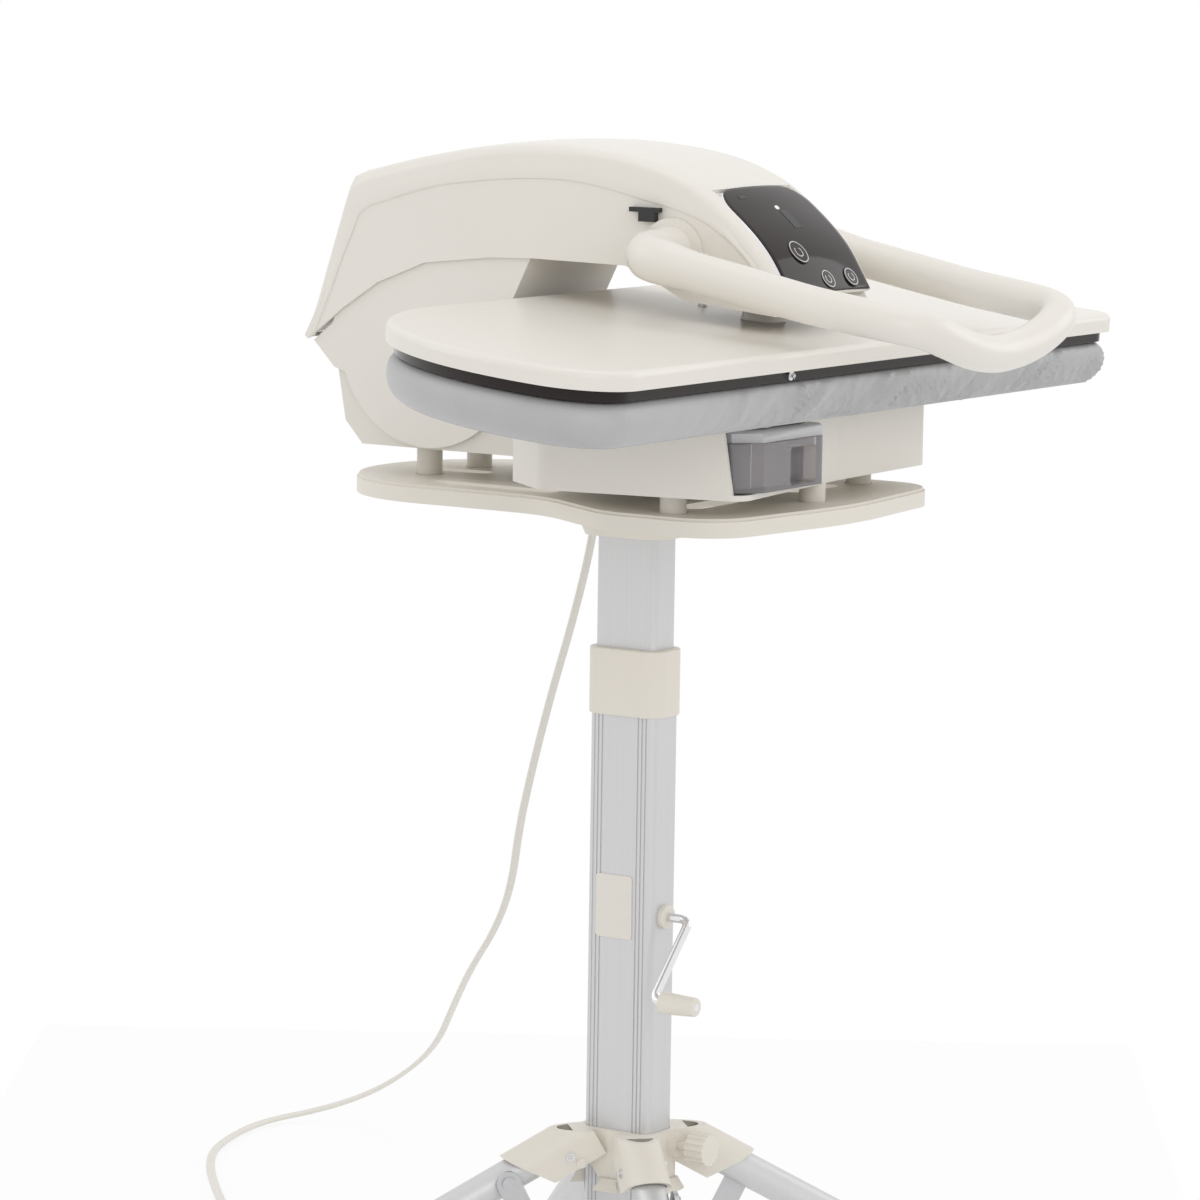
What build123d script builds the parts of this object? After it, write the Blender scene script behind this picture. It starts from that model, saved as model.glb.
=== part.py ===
"""Steam ironing press on a crank-up folding stand.

Millimetres, +Z up. The origin is on the floor, under the axis of the mast.
The user stands on the -Y side, and the ironing board runs along X.
"""
from math import atan2, cos, degrees, hypot, pi, radians, sin, sqrt, tan
import os

from build123d import *

os.makedirs("parts", exist_ok=True)

# Stand
MAST_OUTER = (32, 52)
MAST_WALL = 2
MAST_CORNER = 7
MAST_GROOVES = (14, 17, 20)
GROOVE = 1.2
MAST_BOTTOM = 46
MAST_TOP = 486
COLLAR_Z = (464, 508)
INNER_OUTER = (27, 47)
INNER_CORNER = 5
INNER_Z = (170, 590)
TRAY_TOP = 614
TRAY_DEPTH = 12
TRAY_SKIN = 4
FOOT_SOCKET = 1.5

# Legs: axes cross the mast axis at LEG_APEX and fall outwards
LEG_APEX = 200
LEG_ANGLE = 29.1
LEG_RADIUS = 11
LEG_WALL = 1.5
LEG_PIVOT_R = 46
FLOOR_CAP = 3
FOOT_RADIUS = 331
BRACE_REACH = 42
BRACE_ROOT = (37, 62)
BRACE_WIDTH = 16
BRACE_OFFSET = 14.5
BRACE_THICK = 3
HUB_Z = (149, 187)
HOOD_R = LEG_RADIUS + 3.6
HOOD_LENGTH = 40
KNOB_AT = (8, 177)
KNOB_Y = (-46, -60)
HUB_SCREW = (34, 166)

# Crank drive
CRANK_Z = 331
MODULE = 1.0
TEETH = 14
PITCH_R = MODULE * TEETH / 2
RACK_Z = (181, 411)
GEAR_Y = (-16, -8)
CRANK_PLANE_Y = -46
CRANK_THROW = 64
CRANK_TURN = 43
SHAFT_R = 3
BUSH_R = 7
BUSH_FLANGE_R = 8

# Pressing plane: slopes down towards the user
TILT = 4.5
PAD_TOP_FRONT = 701
BOARD_FRONT = -190
BOARD_DEPTH = 240
BOARD_LEFT = -335
BOARD_RIGHT = 305
NOSE = (165, 195)
NOSE_FRONT = (40, 45)
BOARD_CORNER = 22
PAD_THICK = 23.7
PAD_GAP = 0.3
GUARD_TOP = 7.5
COVER_TOP = 19
SHEET = 4

# Base
BASE_BOTTOM = 626
BASE_HALF = 148
BASE_LEFT = 151
BASE_REAR = 20
TOWER_HALF = 51.5
TOWER_BOTTOM = 633
TOWER_TOP = 690
WALL = 2.5
FEET = [(-113, -100), (113, -100), (0, -133), (-29, 146), (29, 146)]
FOOT_R = 8.5
GLAND_AT = (118, 645)
GLAND_R = 4.5
PUMP_AT = (80, 648)
TANK_X = (-124, -34)
TANK_FRONT = -164
TANK_BACK = -30
TANK_Z = (630.5, 661)

# Arm
PIVOT = (131, 704)
ARM_HALF = 58
NECK_HALF = 55.1
DISC_R = 70
HANDLE_PIVOT = (-62, 772)
HANDLE_HALF = 100
BOSS_R = 22
BOSS_PIN_R = 8
PANEL_HALF = 50
PANEL_THICK = 2.7

# Mains cord
CORD_R = 3.5
CORD_ROUTE = [
    (118, 56, 645), (119, 80, 643), (122, 101, 628), (125, 112, 598), (129, 121, 553), (141, 144, 496),
    (158, 171, 445), (179, 200, 389), (204, 229, 335), (234, 255, 286), (276, 297, 242), (330, 358, 194),
    (390, 415, 148), (448, 470, 102), (500, 533, 63), (533, 596, 29), (532, 645, 9), (493, 672, CORD_R),
    (440, 663, CORD_R), (385, 643, CORD_R), (335, 607, CORD_R), (286, 563, CORD_R), (235, 514, CORD_R),
    (184, 463, CORD_R),
]
COIL_R = 42
COIL_PITCH = 7.6
COIL_LEAD = 50

BRACKET_FOOT = 5

PRESS = Plane(
    origin=(0, BOARD_FRONT, PAD_TOP_FRONT),
    x_dir=(1, 0, 0),
    z_dir=(0, -sin(radians(TILT)), cos(radians(TILT))),
)
SIDE = Plane.YZ


def press_plane(height):
    """The pressing plane moved along its own normal."""
    return PRESS.offset(height)


def save(part, name):
    part.label = name
    export_step(part, f"parts/{name}.step")


def board_outline(inset=0):
    """Long straight front, square right end, rear edge curving round to a blunt left nose."""
    left, right = BOARD_LEFT + inset, BOARD_RIGHT - inset
    front, rear = inset, BOARD_DEPTH - inset
    nose_x, nose_y = NOSE[0] - inset, NOSE[1] - inset
    small_x, small_y = NOSE_FRONT[0] - inset, NOSE_FRONT[1] - inset
    mid = NOSE_FRONT[1]
    corner = max(BOARD_CORNER - inset, 4)
    EllipticalCenterArc((left + nose_x, mid), nose_x, nose_y, 90, arc_size=90)
    EllipticalCenterArc((left + small_x, mid), small_x, small_y, 180, arc_size=90)
    Line((left + small_x, front), (right - corner, front))
    CenterArc((right - corner, front + corner), corner, -90, 90)
    Line((right, front + corner), (right, rear - corner))
    CenterArc((right - corner, rear - corner), corner, 0, 90)
    Line((right - corner, rear), (left + nose_x, rear))


# Mast

def make_mast():
    """Outer mast tube with its grooved corners and the round hole for the crank bush."""
    with BuildPart() as mast:
        with BuildSketch(Plane.XY.offset(MAST_BOTTOM)):
            RectangleRounded(*MAST_OUTER, MAST_CORNER)
            RectangleRounded(
                MAST_OUTER[0] - 2 * MAST_WALL, MAST_OUTER[1] - 2 * MAST_WALL, MAST_CORNER - MAST_WALL,
                mode=Mode.SUBTRACT,
            )
            for side in (-1, 1):
                for groove in MAST_GROOVES:
                    with Locations((side * MAST_OUTER[0] / 2, -groove), (side * MAST_OUTER[0] / 2, groove)):
                        Rectangle(GROOVE, GROOVE, mode=Mode.SUBTRACT)
        extrude(amount=MAST_TOP - MAST_BOTTOM)
        with BuildSketch(Plane.XZ.offset(MAST_OUTER[1] / 2 - 6)):
            with Locations((0, CRANK_Z)):
                Circle(BUSH_R)
        extrude(amount=10, mode=Mode.SUBTRACT)
    save(mast.part, "mast_lower")

    with BuildPart() as collar:
        with BuildSketch(Plane.XY.offset(COLLAR_Z[0])):
            RectangleRounded(MAST_OUTER[0] + 6, MAST_OUTER[1] + 6, 13)
        extrude(amount=COLLAR_Z[1] - COLLAR_Z[0])
        fillet(collar.edges().group_by(Axis.Z)[-1] + collar.edges().group_by(Axis.Z)[0], radius=1.2)
        with BuildSketch(Plane.XY.offset(COLLAR_Z[0])):
            RectangleRounded(*MAST_OUTER, MAST_CORNER)
        extrude(amount=MAST_TOP - COLLAR_Z[0], mode=Mode.SUBTRACT)
        with BuildSketch(Plane.XY.offset(MAST_TOP)):
            RectangleRounded(INNER_OUTER[0] + 0.5, INNER_OUTER[1] + 0.5, INNER_CORNER + 0.2)
        extrude(amount=COLLAR_Z[1] - MAST_TOP, mode=Mode.SUBTRACT)
    save(collar.part, "mast_collar")

    with BuildPart() as inner:
        with BuildSketch(Plane.XY.offset(INNER_Z[0])):
            RectangleRounded(*INNER_OUTER, INNER_CORNER)
            RectangleRounded(
                INNER_OUTER[0] - 2 * MAST_WALL, INNER_OUTER[1] - 2 * MAST_WALL, INNER_CORNER - MAST_WALL,
                mode=Mode.SUBTRACT,
            )
        extrude(amount=INNER_Z[1] - INNER_Z[0])
        with BuildSketch(Plane.XZ.offset(INNER_OUTER[1] / 2 - 4)):
            with Locations((0, (RACK_Z[0] + RACK_Z[1]) / 2)):
                SlotOverall(RACK_Z[1] - RACK_Z[0], 9, rotation=90)
        extrude(amount=8, mode=Mode.SUBTRACT)
    save(inner.part, "mast_upper")


def make_crank():
    """Bush in the mast wall, bent crank rod, pinion on its shaft, rack on the inner tube, grip."""
    front = -MAST_OUTER[1] / 2
    with BuildPart() as bush:
        with BuildSketch(Plane.XZ.offset(-front)):
            with Locations((0, CRANK_Z)):
                Circle(BUSH_FLANGE_R)
        extrude(amount=4)
        with BuildSketch(Plane.XZ.offset(-front - MAST_WALL)):
            with Locations((0, CRANK_Z)):
                Circle(BUSH_R - 0.05)
        extrude(amount=MAST_WALL)
        fillet(bush.edges().filter_by(GeomType.CIRCLE).sort_by(Axis.Y)[0], radius=1.5)
        with BuildSketch(Plane.XZ.offset(-front - MAST_WALL - 1)):
            with Locations((0, CRANK_Z)):
                Circle(SHAFT_R + 0.05)
        extrude(amount=MAST_WALL + 6, mode=Mode.SUBTRACT)
    save(bush.part, "crank_bush")

    turn = radians(CRANK_TURN)
    end = (-CRANK_THROW * sin(turn), CRANK_PLANE_Y, CRANK_Z - CRANK_THROW * cos(turn))
    with BuildPart() as rod:
        with BuildLine():
            FilletPolyline(
                (0, GEAR_Y[1] + 2, CRANK_Z), (0, CRANK_PLANE_Y, CRANK_Z), end, (end[0], end[1] - 34, end[2]),
                radius=7,
            )
        with BuildSketch(Plane.XZ.offset(-(GEAR_Y[1] + 2))):
            with Locations((0, CRANK_Z)):
                Circle(SHAFT_R)
        sweep()
    save(rod.part, "crank_rod")

    with BuildPart() as grip:
        with BuildSketch(Plane.XZ.offset(-(end[1] - 8))):
            with Locations((end[0], end[2])):
                Circle(7.5)
        extrude(amount=26, taper=3)
        fillet(grip.edges().filter_by(GeomType.CIRCLE).sort_by(Axis.Y)[0], radius=1.5)
        with BuildSketch(Plane.XZ.offset(-(end[1] - 8))):
            with Locations((end[0], end[2])):
                Circle(SHAFT_R + 0.06)
        extrude(amount=26, mode=Mode.SUBTRACT)
    save(grip.part, "crank_grip")

    with BuildPart() as pinion:
        with BuildSketch(Plane.XZ.offset(-GEAR_Y[1])):
            with Locations((0, CRANK_Z)):
                Circle(PITCH_R - 1.25 * MODULE)
                with PolarLocations(PITCH_R - 1.25 * MODULE - 0.3, TEETH):
                    tooth = 1.25 * MODULE + 0.3 + 0.85 * MODULE
                    Trapezoid(2.0 * MODULE, tooth, 68, rotation=-90, align=(Align.CENTER, Align.MIN))
        extrude(amount=GEAR_Y[1] - GEAR_Y[0])
        with BuildSketch(Plane.XZ.offset(-GEAR_Y[1])):
            with Locations((0, CRANK_Z)):
                Circle(SHAFT_R)
        extrude(amount=GEAR_Y[1] - GEAR_Y[0], mode=Mode.SUBTRACT)
    save(pinion.part, "crank_pinion")

    pitch = pi * MODULE
    count = int((RACK_Z[1] - RACK_Z[0]) / pitch) - 1
    inner_face = INNER_OUTER[0] / 2 - MAST_WALL
    root = PITCH_R + 1.3 * MODULE
    with BuildPart() as rack:
        with BuildSketch(Plane.XZ.offset(-GEAR_Y[1])):
            with Locations(((root + inner_face) / 2, (RACK_Z[0] + RACK_Z[1]) / 2)):
                Rectangle(inner_face - root, RACK_Z[1] - RACK_Z[0])
            first = CRANK_Z - pitch * (count // 2) + pitch / 2
            spots = [(root + 0.2, first + i * pitch) for i in range(count)]
            with Locations(*[s for s in spots if RACK_Z[0] + 2 < s[1] < RACK_Z[1] - 2]):
                Trapezoid(1.9 * MODULE, 0.2 + 2.0 * MODULE, 70, rotation=90, align=(Align.CENTER, Align.MIN))
        extrude(amount=GEAR_Y[1] - GEAR_Y[0])
    save(rack.part, "lift_rack")


# Folding legs

def leg_frame(azimuth, radius, height, pitch=0):
    """Local frame of one leg: x runs outwards and down by pitch, y sideways, z up."""
    out = Vector(cos(radians(azimuth)), sin(radians(azimuth)), 0)
    x_dir = out * cos(radians(pitch)) + Vector(0, 0, -sin(radians(pitch)))
    z_dir = out * sin(radians(pitch)) + Vector(0, 0, cos(radians(pitch)))
    return Plane(origin=(out.X * radius, out.Y * radius, height), x_dir=x_dir, z_dir=z_dir)


LEG_PIVOT_Z = LEG_APEX - tan(radians(LEG_ANGLE)) * LEG_PIVOT_R
LEG_END = (LEG_PIVOT_Z - LEG_RADIUS * cos(radians(LEG_ANGLE)) - FLOOR_CAP) / sin(radians(LEG_ANGLE))
BRACE_TIP = (
    LEG_PIVOT_R + BRACE_REACH * cos(radians(LEG_ANGLE)),
    LEG_PIVOT_Z - BRACE_REACH * sin(radians(LEG_ANGLE)),
)
BRACE_ANGLE = degrees(atan2(BRACE_TIP[1] - BRACE_ROOT[1], BRACE_TIP[0] - BRACE_ROOT[0]))
BRACE_LENGTH = hypot(BRACE_TIP[1] - BRACE_ROOT[1], BRACE_TIP[0] - BRACE_ROOT[0])
LEGS = {"rear_right": 45, "rear_left": 135, "front_left": 225, "front_right": 315}


def make_legs():
    for name, azimuth in LEGS.items():
        frame = leg_frame(azimuth, LEG_PIVOT_R, LEG_PIVOT_Z, LEG_ANGLE)
        side = Plane(origin=frame.origin, x_dir=frame.x_dir, z_dir=-frame.y_dir)
        along = Plane(origin=frame.origin, x_dir=frame.y_dir, z_dir=frame.x_dir)
        with BuildPart() as leg:
            with BuildSketch(along.offset(-3)):
                Circle(LEG_RADIUS)
                Circle(LEG_RADIUS - LEG_WALL, mode=Mode.SUBTRACT)
            extrude(amount=3 + LEG_END)
            with BuildSketch(side.offset(-LEG_RADIUS - 1)):
                Circle(3.05)
            extrude(amount=2 * LEG_RADIUS + 2, mode=Mode.SUBTRACT)
        save(leg.part, f"leg_{name}")

        with BuildPart() as cap:
            with BuildSketch(along.offset(LEG_END - 26)):
                Circle(LEG_RADIUS + 2.5)
            extrude(amount=26 + 5)
            fillet(cap.edges().filter_by(GeomType.CIRCLE), radius=2)
            with BuildSketch(Plane.XY):
                with Locations(Vector(frame.origin.X, frame.origin.Y).normalized() * FOOT_RADIUS):
                    Circle(15)
            extrude(amount=8, taper=12)
            with BuildSketch(along.offset(LEG_END - 27)):
                Circle(LEG_RADIUS)
            extrude(amount=27, mode=Mode.SUBTRACT)
            with BuildSketch(Plane.XY):
                Rectangle(900, 900)
            extrude(amount=-60, mode=Mode.SUBTRACT)
        save(cap.part, f"foot_cap_{name}")

        lug = leg_frame(azimuth, BRACE_ROOT[0], BRACE_ROOT[1], -BRACE_ANGLE)
        flat = Plane(origin=lug.origin, x_dir=lug.x_dir, z_dir=-lug.y_dir)
        with BuildPart() as brace:
            with BuildSketch(flat.offset(-BRACE_OFFSET - BRACE_THICK / 2)):
                with Locations((BRACE_LENGTH / 2, 0)):
                    SlotCenterToCenter(BRACE_LENGTH, BRACE_WIDTH)
                Circle(2.55, mode=Mode.SUBTRACT)
            extrude(amount=BRACE_THICK)
            with BuildSketch(flat.offset(-BRACE_OFFSET - BRACE_THICK / 2 - 2)):
                with Locations((BRACE_LENGTH, 0)):
                    Circle(4.5)
            extrude(amount=2)
        save(brace.part, f"brace_{name}")


def hood_planes(azimuth):
    """Side and along-leg planes at the pin of one leg."""
    frame = leg_frame(azimuth, LEG_PIVOT_R, LEG_PIVOT_Z, LEG_ANGLE)
    side = Plane(origin=frame.origin, x_dir=frame.x_dir, z_dir=-frame.y_dir)
    along = Plane(origin=frame.origin, x_dir=frame.y_dir, z_dir=frame.x_dir)
    return side, along


def make_hub():
    """Sliding hub: sleeve and skirt round the mast, an arched hood over each leg, a clamp boss."""
    with BuildPart() as hub:
        with BuildSketch(Plane.XY.offset(HUB_Z[0])):
            RectangleRounded(MAST_OUTER[0] + 9, MAST_OUTER[1] + 9, 12)
        extrude(amount=HUB_Z[1] - HUB_Z[0])
        with BuildSketch(Plane.XY.offset(HUB_Z[0] - 2)):
            RectangleRounded(MAST_OUTER[0] + 22, MAST_OUTER[1] + 22, 20)
        extrude(amount=8, taper=30)
        for azimuth in LEGS.values():
            side, along = hood_planes(azimuth)
            with BuildSketch(along.offset(-24)):
                Circle(HOOD_R)
                with Locations((0, -8)):
                    Rectangle(2 * HOOD_R, 16)
            extrude(amount=24 + HOOD_LENGTH)
            with BuildSketch(side.offset(-HOOD_R - 1)):
                with BuildLine():
                    Polyline((HOOD_LENGTH, 18), (60, 18), (60, -30), (12, -20), (HOOD_LENGTH, 18))
                make_face()
            extrude(amount=2 * HOOD_R + 2, mode=Mode.SUBTRACT)
        with BuildSketch(Plane.XY.offset(HUB_Z[0] - 2)):
            Rectangle(300, 300)
        extrude(amount=-60, mode=Mode.SUBTRACT)
        with BuildSketch(Plane.XY.offset(HUB_Z[1])):
            Rectangle(300, 300)
        extrude(amount=60, mode=Mode.SUBTRACT)
        with BuildSketch(Plane.XZ.offset(MAST_OUTER[1] / 2)):
            with Locations(KNOB_AT):
                Circle(8)
        extrude(amount=9.5)
        for azimuth in LEGS.values():
            side, along = hood_planes(azimuth)
            bore = LEG_RADIUS + 1
            with BuildSketch(along.offset(-12.5)):
                Circle(bore)
                with Locations((0, -35)):
                    Rectangle(2 * bore, 70)
            extrude(amount=80, mode=Mode.SUBTRACT)
            with BuildSketch(side.offset(-HOOD_R)):
                Circle(3)
            extrude(amount=2 * HOOD_R)
            screw = leg_frame(azimuth, HUB_SCREW[0], HUB_SCREW[1])
            with BuildSketch(Plane(origin=screw.origin, x_dir=screw.x_dir, z_dir=screw.y_dir).offset(HOOD_R)):
                Circle(3.4)
            extrude(amount=1.2)
        with BuildSketch(Plane.XY.offset(HUB_Z[0] - 40)):
            RectangleRounded(MAST_OUTER[0] + 0.6, MAST_OUTER[1] + 0.6, MAST_CORNER + 0.3)
        extrude(amount=120, mode=Mode.SUBTRACT)
        with BuildSketch(Plane.XZ.offset(MAST_OUTER[1] / 2)):
            with Locations(KNOB_AT):
                Circle(2.6)
        extrude(amount=12, mode=Mode.SUBTRACT)
    save(hub.part, "leg_hub")

    with BuildPart() as knob:
        with BuildSketch(Plane.XZ.offset(-KNOB_Y[0])):
            with Locations(KNOB_AT):
                Circle(11)
                with PolarLocations(11, 16):
                    Circle(1, mode=Mode.SUBTRACT)
        extrude(amount=KNOB_Y[0] - KNOB_Y[1])
        with BuildSketch(Plane.XZ.offset(MAST_OUTER[1] / 2 + 0.5)):
            with Locations(KNOB_AT):
                Circle(2.5)
        extrude(amount=-KNOB_Y[0] - MAST_OUTER[1] / 2)
    save(knob.part, "hub_knob")

    with BuildPart() as collar:
        with BuildSketch(Plane.XY.offset(MAST_BOTTOM - 3)):
            RectangleRounded(MAST_OUTER[0] + 4, MAST_OUTER[1] + 4, 9)
        extrude(amount=34)
        for azimuth in LEGS.values():
            lug = leg_frame(azimuth, BRACE_ROOT[0], BRACE_ROOT[1])
            flat = Plane(origin=lug.origin, x_dir=lug.x_dir, z_dir=-lug.y_dir)
            with BuildSketch(flat.offset(-BRACE_OFFSET + BRACE_THICK / 2 + 0.4)):
                with BuildLine():
                    Polyline((-20, 8), (0, 8), (7, 0), (0, -8), (-20, -8), (-20, 8))
                make_face()
            extrude(amount=4)
            with BuildSketch(flat.offset(-BRACE_OFFSET - BRACE_THICK / 2 - 1)):
                Circle(2.5)
            extrude(amount=8)
        with BuildSketch(Plane.XY.offset(MAST_BOTTOM)):
            RectangleRounded(*MAST_OUTER, MAST_CORNER)
        extrude(amount=60, mode=Mode.SUBTRACT)
    save(collar.part, "foot_collar")

    with BuildPart() as label:
        with BuildSketch(SIDE.offset(-MAST_OUTER[0] / 2)):
            with Locations((3, 337)):
                RectangleRounded(28, 42, 2)
        extrude(amount=-0.8)
    save(label.part, "label_plate")


# Tray

TRAY_REAR = 204
TRAY_STEM = 92
TRAY_WIDE = 137
TRAY_FRONT = -166
TRAY_CORNER_Y = -148
WAIST_Y = (12, -62)
SOCKET_BOTTOM = 582


def tray_outline():
    """Bell shape: round rear end, straight stem, waist flaring to wide lobes, bowed front edge."""
    stem, wide = TRAY_STEM, TRAY_WIDE
    FilletPolyline(
        (stem, TRAY_REAR), (stem, WAIST_Y[0]), (wide, WAIST_Y[1]), (wide, TRAY_CORNER_Y), (0, TRAY_FRONT),
        (-wide, TRAY_CORNER_Y), (-wide, WAIST_Y[1]), (-stem, WAIST_Y[0]), (-stem, TRAY_REAR),
        radius=[90, 90, 60, 36, 300, 36, 60, 90, 90], close=True,
    )


def make_tray():
    """Moulded tray with a skirt, foot sockets and cut-outs, and the socket that grips the mast."""
    bottom = TRAY_TOP - TRAY_DEPTH
    with BuildPart() as tray:
        with BuildSketch(Plane.XY.offset(bottom)):
            with BuildLine():
                tray_outline()
            make_face()
        extrude(amount=TRAY_DEPTH - 2)
        with BuildSketch(Plane.XY.offset(TRAY_TOP - 2)):
            with BuildLine():
                tray_outline()
            make_face()
            offset(amount=-1.5)
        extrude(amount=2)
        with BuildSketch(Plane.XY.offset(bottom)):
            with BuildLine():
                tray_outline()
            make_face()
            offset(amount=-3.5)
        extrude(amount=TRAY_DEPTH - TRAY_SKIN, mode=Mode.SUBTRACT)
        with BuildSketch(Plane.XY.offset(bottom + 1)):
            with Locations(*FEET):
                Circle(FOOT_R + 4)
            with Locations((0, 8)):
                RectangleRounded(84, 84, 20)
        extrude(amount=TRAY_DEPTH - 2)
        with BuildSketch(Plane.XY.offset(TRAY_TOP)):
            with Locations(*FEET):
                Circle(FOOT_R + 1)
        extrude(amount=-FOOT_SOCKET, mode=Mode.SUBTRACT)
        with BuildSketch(Plane.XY.offset(bottom)):
            with Locations((-66, 70), (66, 70)):
                SlotOverall(100, 16, rotation=90)
            with Locations((-62, -92), (62, -92)):
                SlotOverall(58, 20)
            with Locations((0, 146)):
                SlotOverall(58, 16, rotation=90)
        extrude(amount=TRAY_DEPTH, mode=Mode.SUBTRACT)
    save(tray.part, "tray")

    with BuildPart() as socket:
        with BuildSketch(Plane.XY.offset(SOCKET_BOTTOM)):
            RectangleRounded(46, 64, 14)
        with BuildSketch(Plane.XY.offset(bottom + 1)):
            RectangleRounded(64, 80, 20)
        loft()
        with BuildSketch(Plane.XY.offset(SOCKET_BOTTOM)):
            RectangleRounded(*INNER_OUTER, INNER_CORNER)
        extrude(amount=INNER_Z[1] - SOCKET_BOTTOM, mode=Mode.SUBTRACT)
    save(socket.part, "tray_socket")


# Base of the press

def base_outline():
    """Plan of the casing: flat rear, a slanted rear left corner, a left wall that closes in to the front."""
    FilletPolyline(
        (-118, BASE_REAR), (-BASE_LEFT, -24), (-127, -160), (20, -139), (BASE_HALF, -133),
        (BASE_HALF, BASE_REAR), radius=12, close=True,
    )


def tower_profile(inset=0):
    Polyline(
        (BASE_REAR - 30, TOWER_BOTTOM + inset), (185 - inset, TOWER_BOTTOM + inset),
        (199 - inset, 648 + inset / 2), (205 - inset, 681), (203 - inset, TOWER_TOP),
        (BASE_REAR - 30, TOWER_TOP), (BASE_REAR - 30, TOWER_BOTTOM + inset),
    )


def make_base():
    board_under = -PAD_THICK - PAD_GAP - SHEET
    with BuildPart() as pan:
        with BuildSketch(Plane.XY.offset(BASE_BOTTOM)):
            with BuildLine():
                base_outline()
            make_face()
            offset(amount=-WALL - 0.2)
        extrude(amount=3)
        with BuildSketch(Plane.XY.offset(BASE_BOTTOM)):
            with Locations(*[f for f in FEET if f[1] < 0]):
                Circle(2.5)
        extrude(amount=4, mode=Mode.SUBTRACT)
    save(pan.part, "base_pan")

    with BuildPart() as casing:
        with BuildSketch(Plane.XY.offset(BASE_BOTTOM)):
            with BuildLine():
                base_outline()
            make_face()
        extrude(amount=90)
        with BuildSketch(SIDE):
            with BuildLine():
                tower_profile()
            make_face()
        extrude(amount=TOWER_HALF, both=True)
        with BuildSketch(press_plane(board_under)):
            with Locations((0, 90)):
                Rectangle(500, 320)
        extrude(amount=120, mode=Mode.SUBTRACT)
        with BuildSketch(Plane.XY.offset(BASE_BOTTOM)):
            with BuildLine():
                base_outline()
            make_face()
            offset(amount=-WALL)
        extrude(amount=90, mode=Mode.SUBTRACT)
        with BuildSketch(SIDE):
            with BuildLine():
                tower_profile(WALL)
            make_face()
        extrude(amount=TOWER_HALF - WALL, both=True, mode=Mode.SUBTRACT)
        with BuildSketch(Plane.XZ.offset(100)):
            with BuildLine():
                Polyline(
                    (TANK_X[0] - 1, TANK_Z[0] - 1), (TANK_X[1] + 1, TANK_Z[0] - 1),
                    (TANK_X[1] + 1, 700), (TANK_X[0] - 1, 700), (TANK_X[0] - 1, TANK_Z[0] - 1),
                )
            make_face()
        extrude(amount=90, mode=Mode.SUBTRACT)
        with BuildSketch(SIDE.offset(-BASE_LEFT)):
            with BuildLine():
                Polyline(
                    (-200, TANK_Z[0] - 1), (-152, TANK_Z[0] - 1), (-142, 700), (-200, 700),
                    (-200, TANK_Z[0] - 1),
                )
            make_face()
        extrude(amount=BASE_LEFT + TANK_X[0] + 20, mode=Mode.SUBTRACT)
        with BuildSketch(Plane.XZ.offset(-BASE_REAR + 5)):
            with Locations(GLAND_AT):
                Circle(GLAND_R)
        extrude(amount=-10, mode=Mode.SUBTRACT)
    save(casing.part, "base_casing")

    with BuildPart() as feet:
        with BuildSketch(Plane.XY.offset(TRAY_TOP - FOOT_SOCKET)):
            with Locations(*[f for f in FEET if f[1] < 0]):
                Circle(FOOT_R)
        extrude(amount=BASE_BOTTOM - TRAY_TOP + FOOT_SOCKET)
        with BuildSketch(Plane.XY.offset(TRAY_TOP - FOOT_SOCKET)):
            with Locations(*[f for f in FEET if f[1] > 0]):
                Circle(FOOT_R)
        extrude(amount=TOWER_BOTTOM - TRAY_TOP + FOOT_SOCKET)
        fillet(feet.edges().group_by(Axis.Z)[0], radius=1)
    save(feet.part, "base_feet")

    with BuildPart() as frame:
        with BuildSketch(Plane.XY.offset(TOWER_BOTTOM + WALL)):
            with Locations((0, 90)):
                Rectangle(70, 180)
        extrude(amount=3)
        for side in (-1, 1):
            with BuildSketch(SIDE.offset(side * 33 - 2)):
                with BuildLine():
                    Polyline(
                        (60, TOWER_BOTTOM + WALL), (176, TOWER_BOTTOM + WALL), (150, PIVOT[1] + 8),
                        (141, PIVOT[1] + 17), (121, PIVOT[1] + 17), (112, PIVOT[1] + 8),
                        (60, TOWER_BOTTOM + WALL),
                    )
                make_face()
                with Locations(PIVOT):
                    Circle(7, mode=Mode.SUBTRACT)
            extrude(amount=4)
    save(frame.part, "pivot_frame")

    with BuildPart() as shaft:
        with BuildSketch(SIDE.offset(-48)):
            with Locations(PIVOT):
                Circle(6.97)
        extrude(amount=96)
    save(shaft.part, "pivot_shaft")

    with BuildPart() as springs:
        for start in (-19, 9):
            with BuildLine():
                path = Helix(2.5, 10, 9.5, center=(start, *PIVOT), direction=(1, 0, 0))
            with BuildSketch(Plane(origin=path @ 0, z_dir=path % 0)):
                Circle(0.9)
            sweep(path=path, is_frenet=True)
    save(springs.part, "lift_springs")

    with BuildPart() as pump:
        with BuildSketch(Plane.XZ.offset(20)):
            with Locations(PUMP_AT):
                RectangleRounded(32, 30, 4)
        extrude(amount=50)
        with BuildSketch(Plane.XZ.offset(70)):
            with Locations(PUMP_AT):
                Circle(6)
        extrude(amount=14)
        with BuildSketch(Plane.XY.offset(BASE_BOTTOM + 3)):
            with Locations((PUMP_AT[0], -45)):
                Rectangle(26, 40)
        extrude(amount=5)
    save(pump.part, "water_pump")

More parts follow.
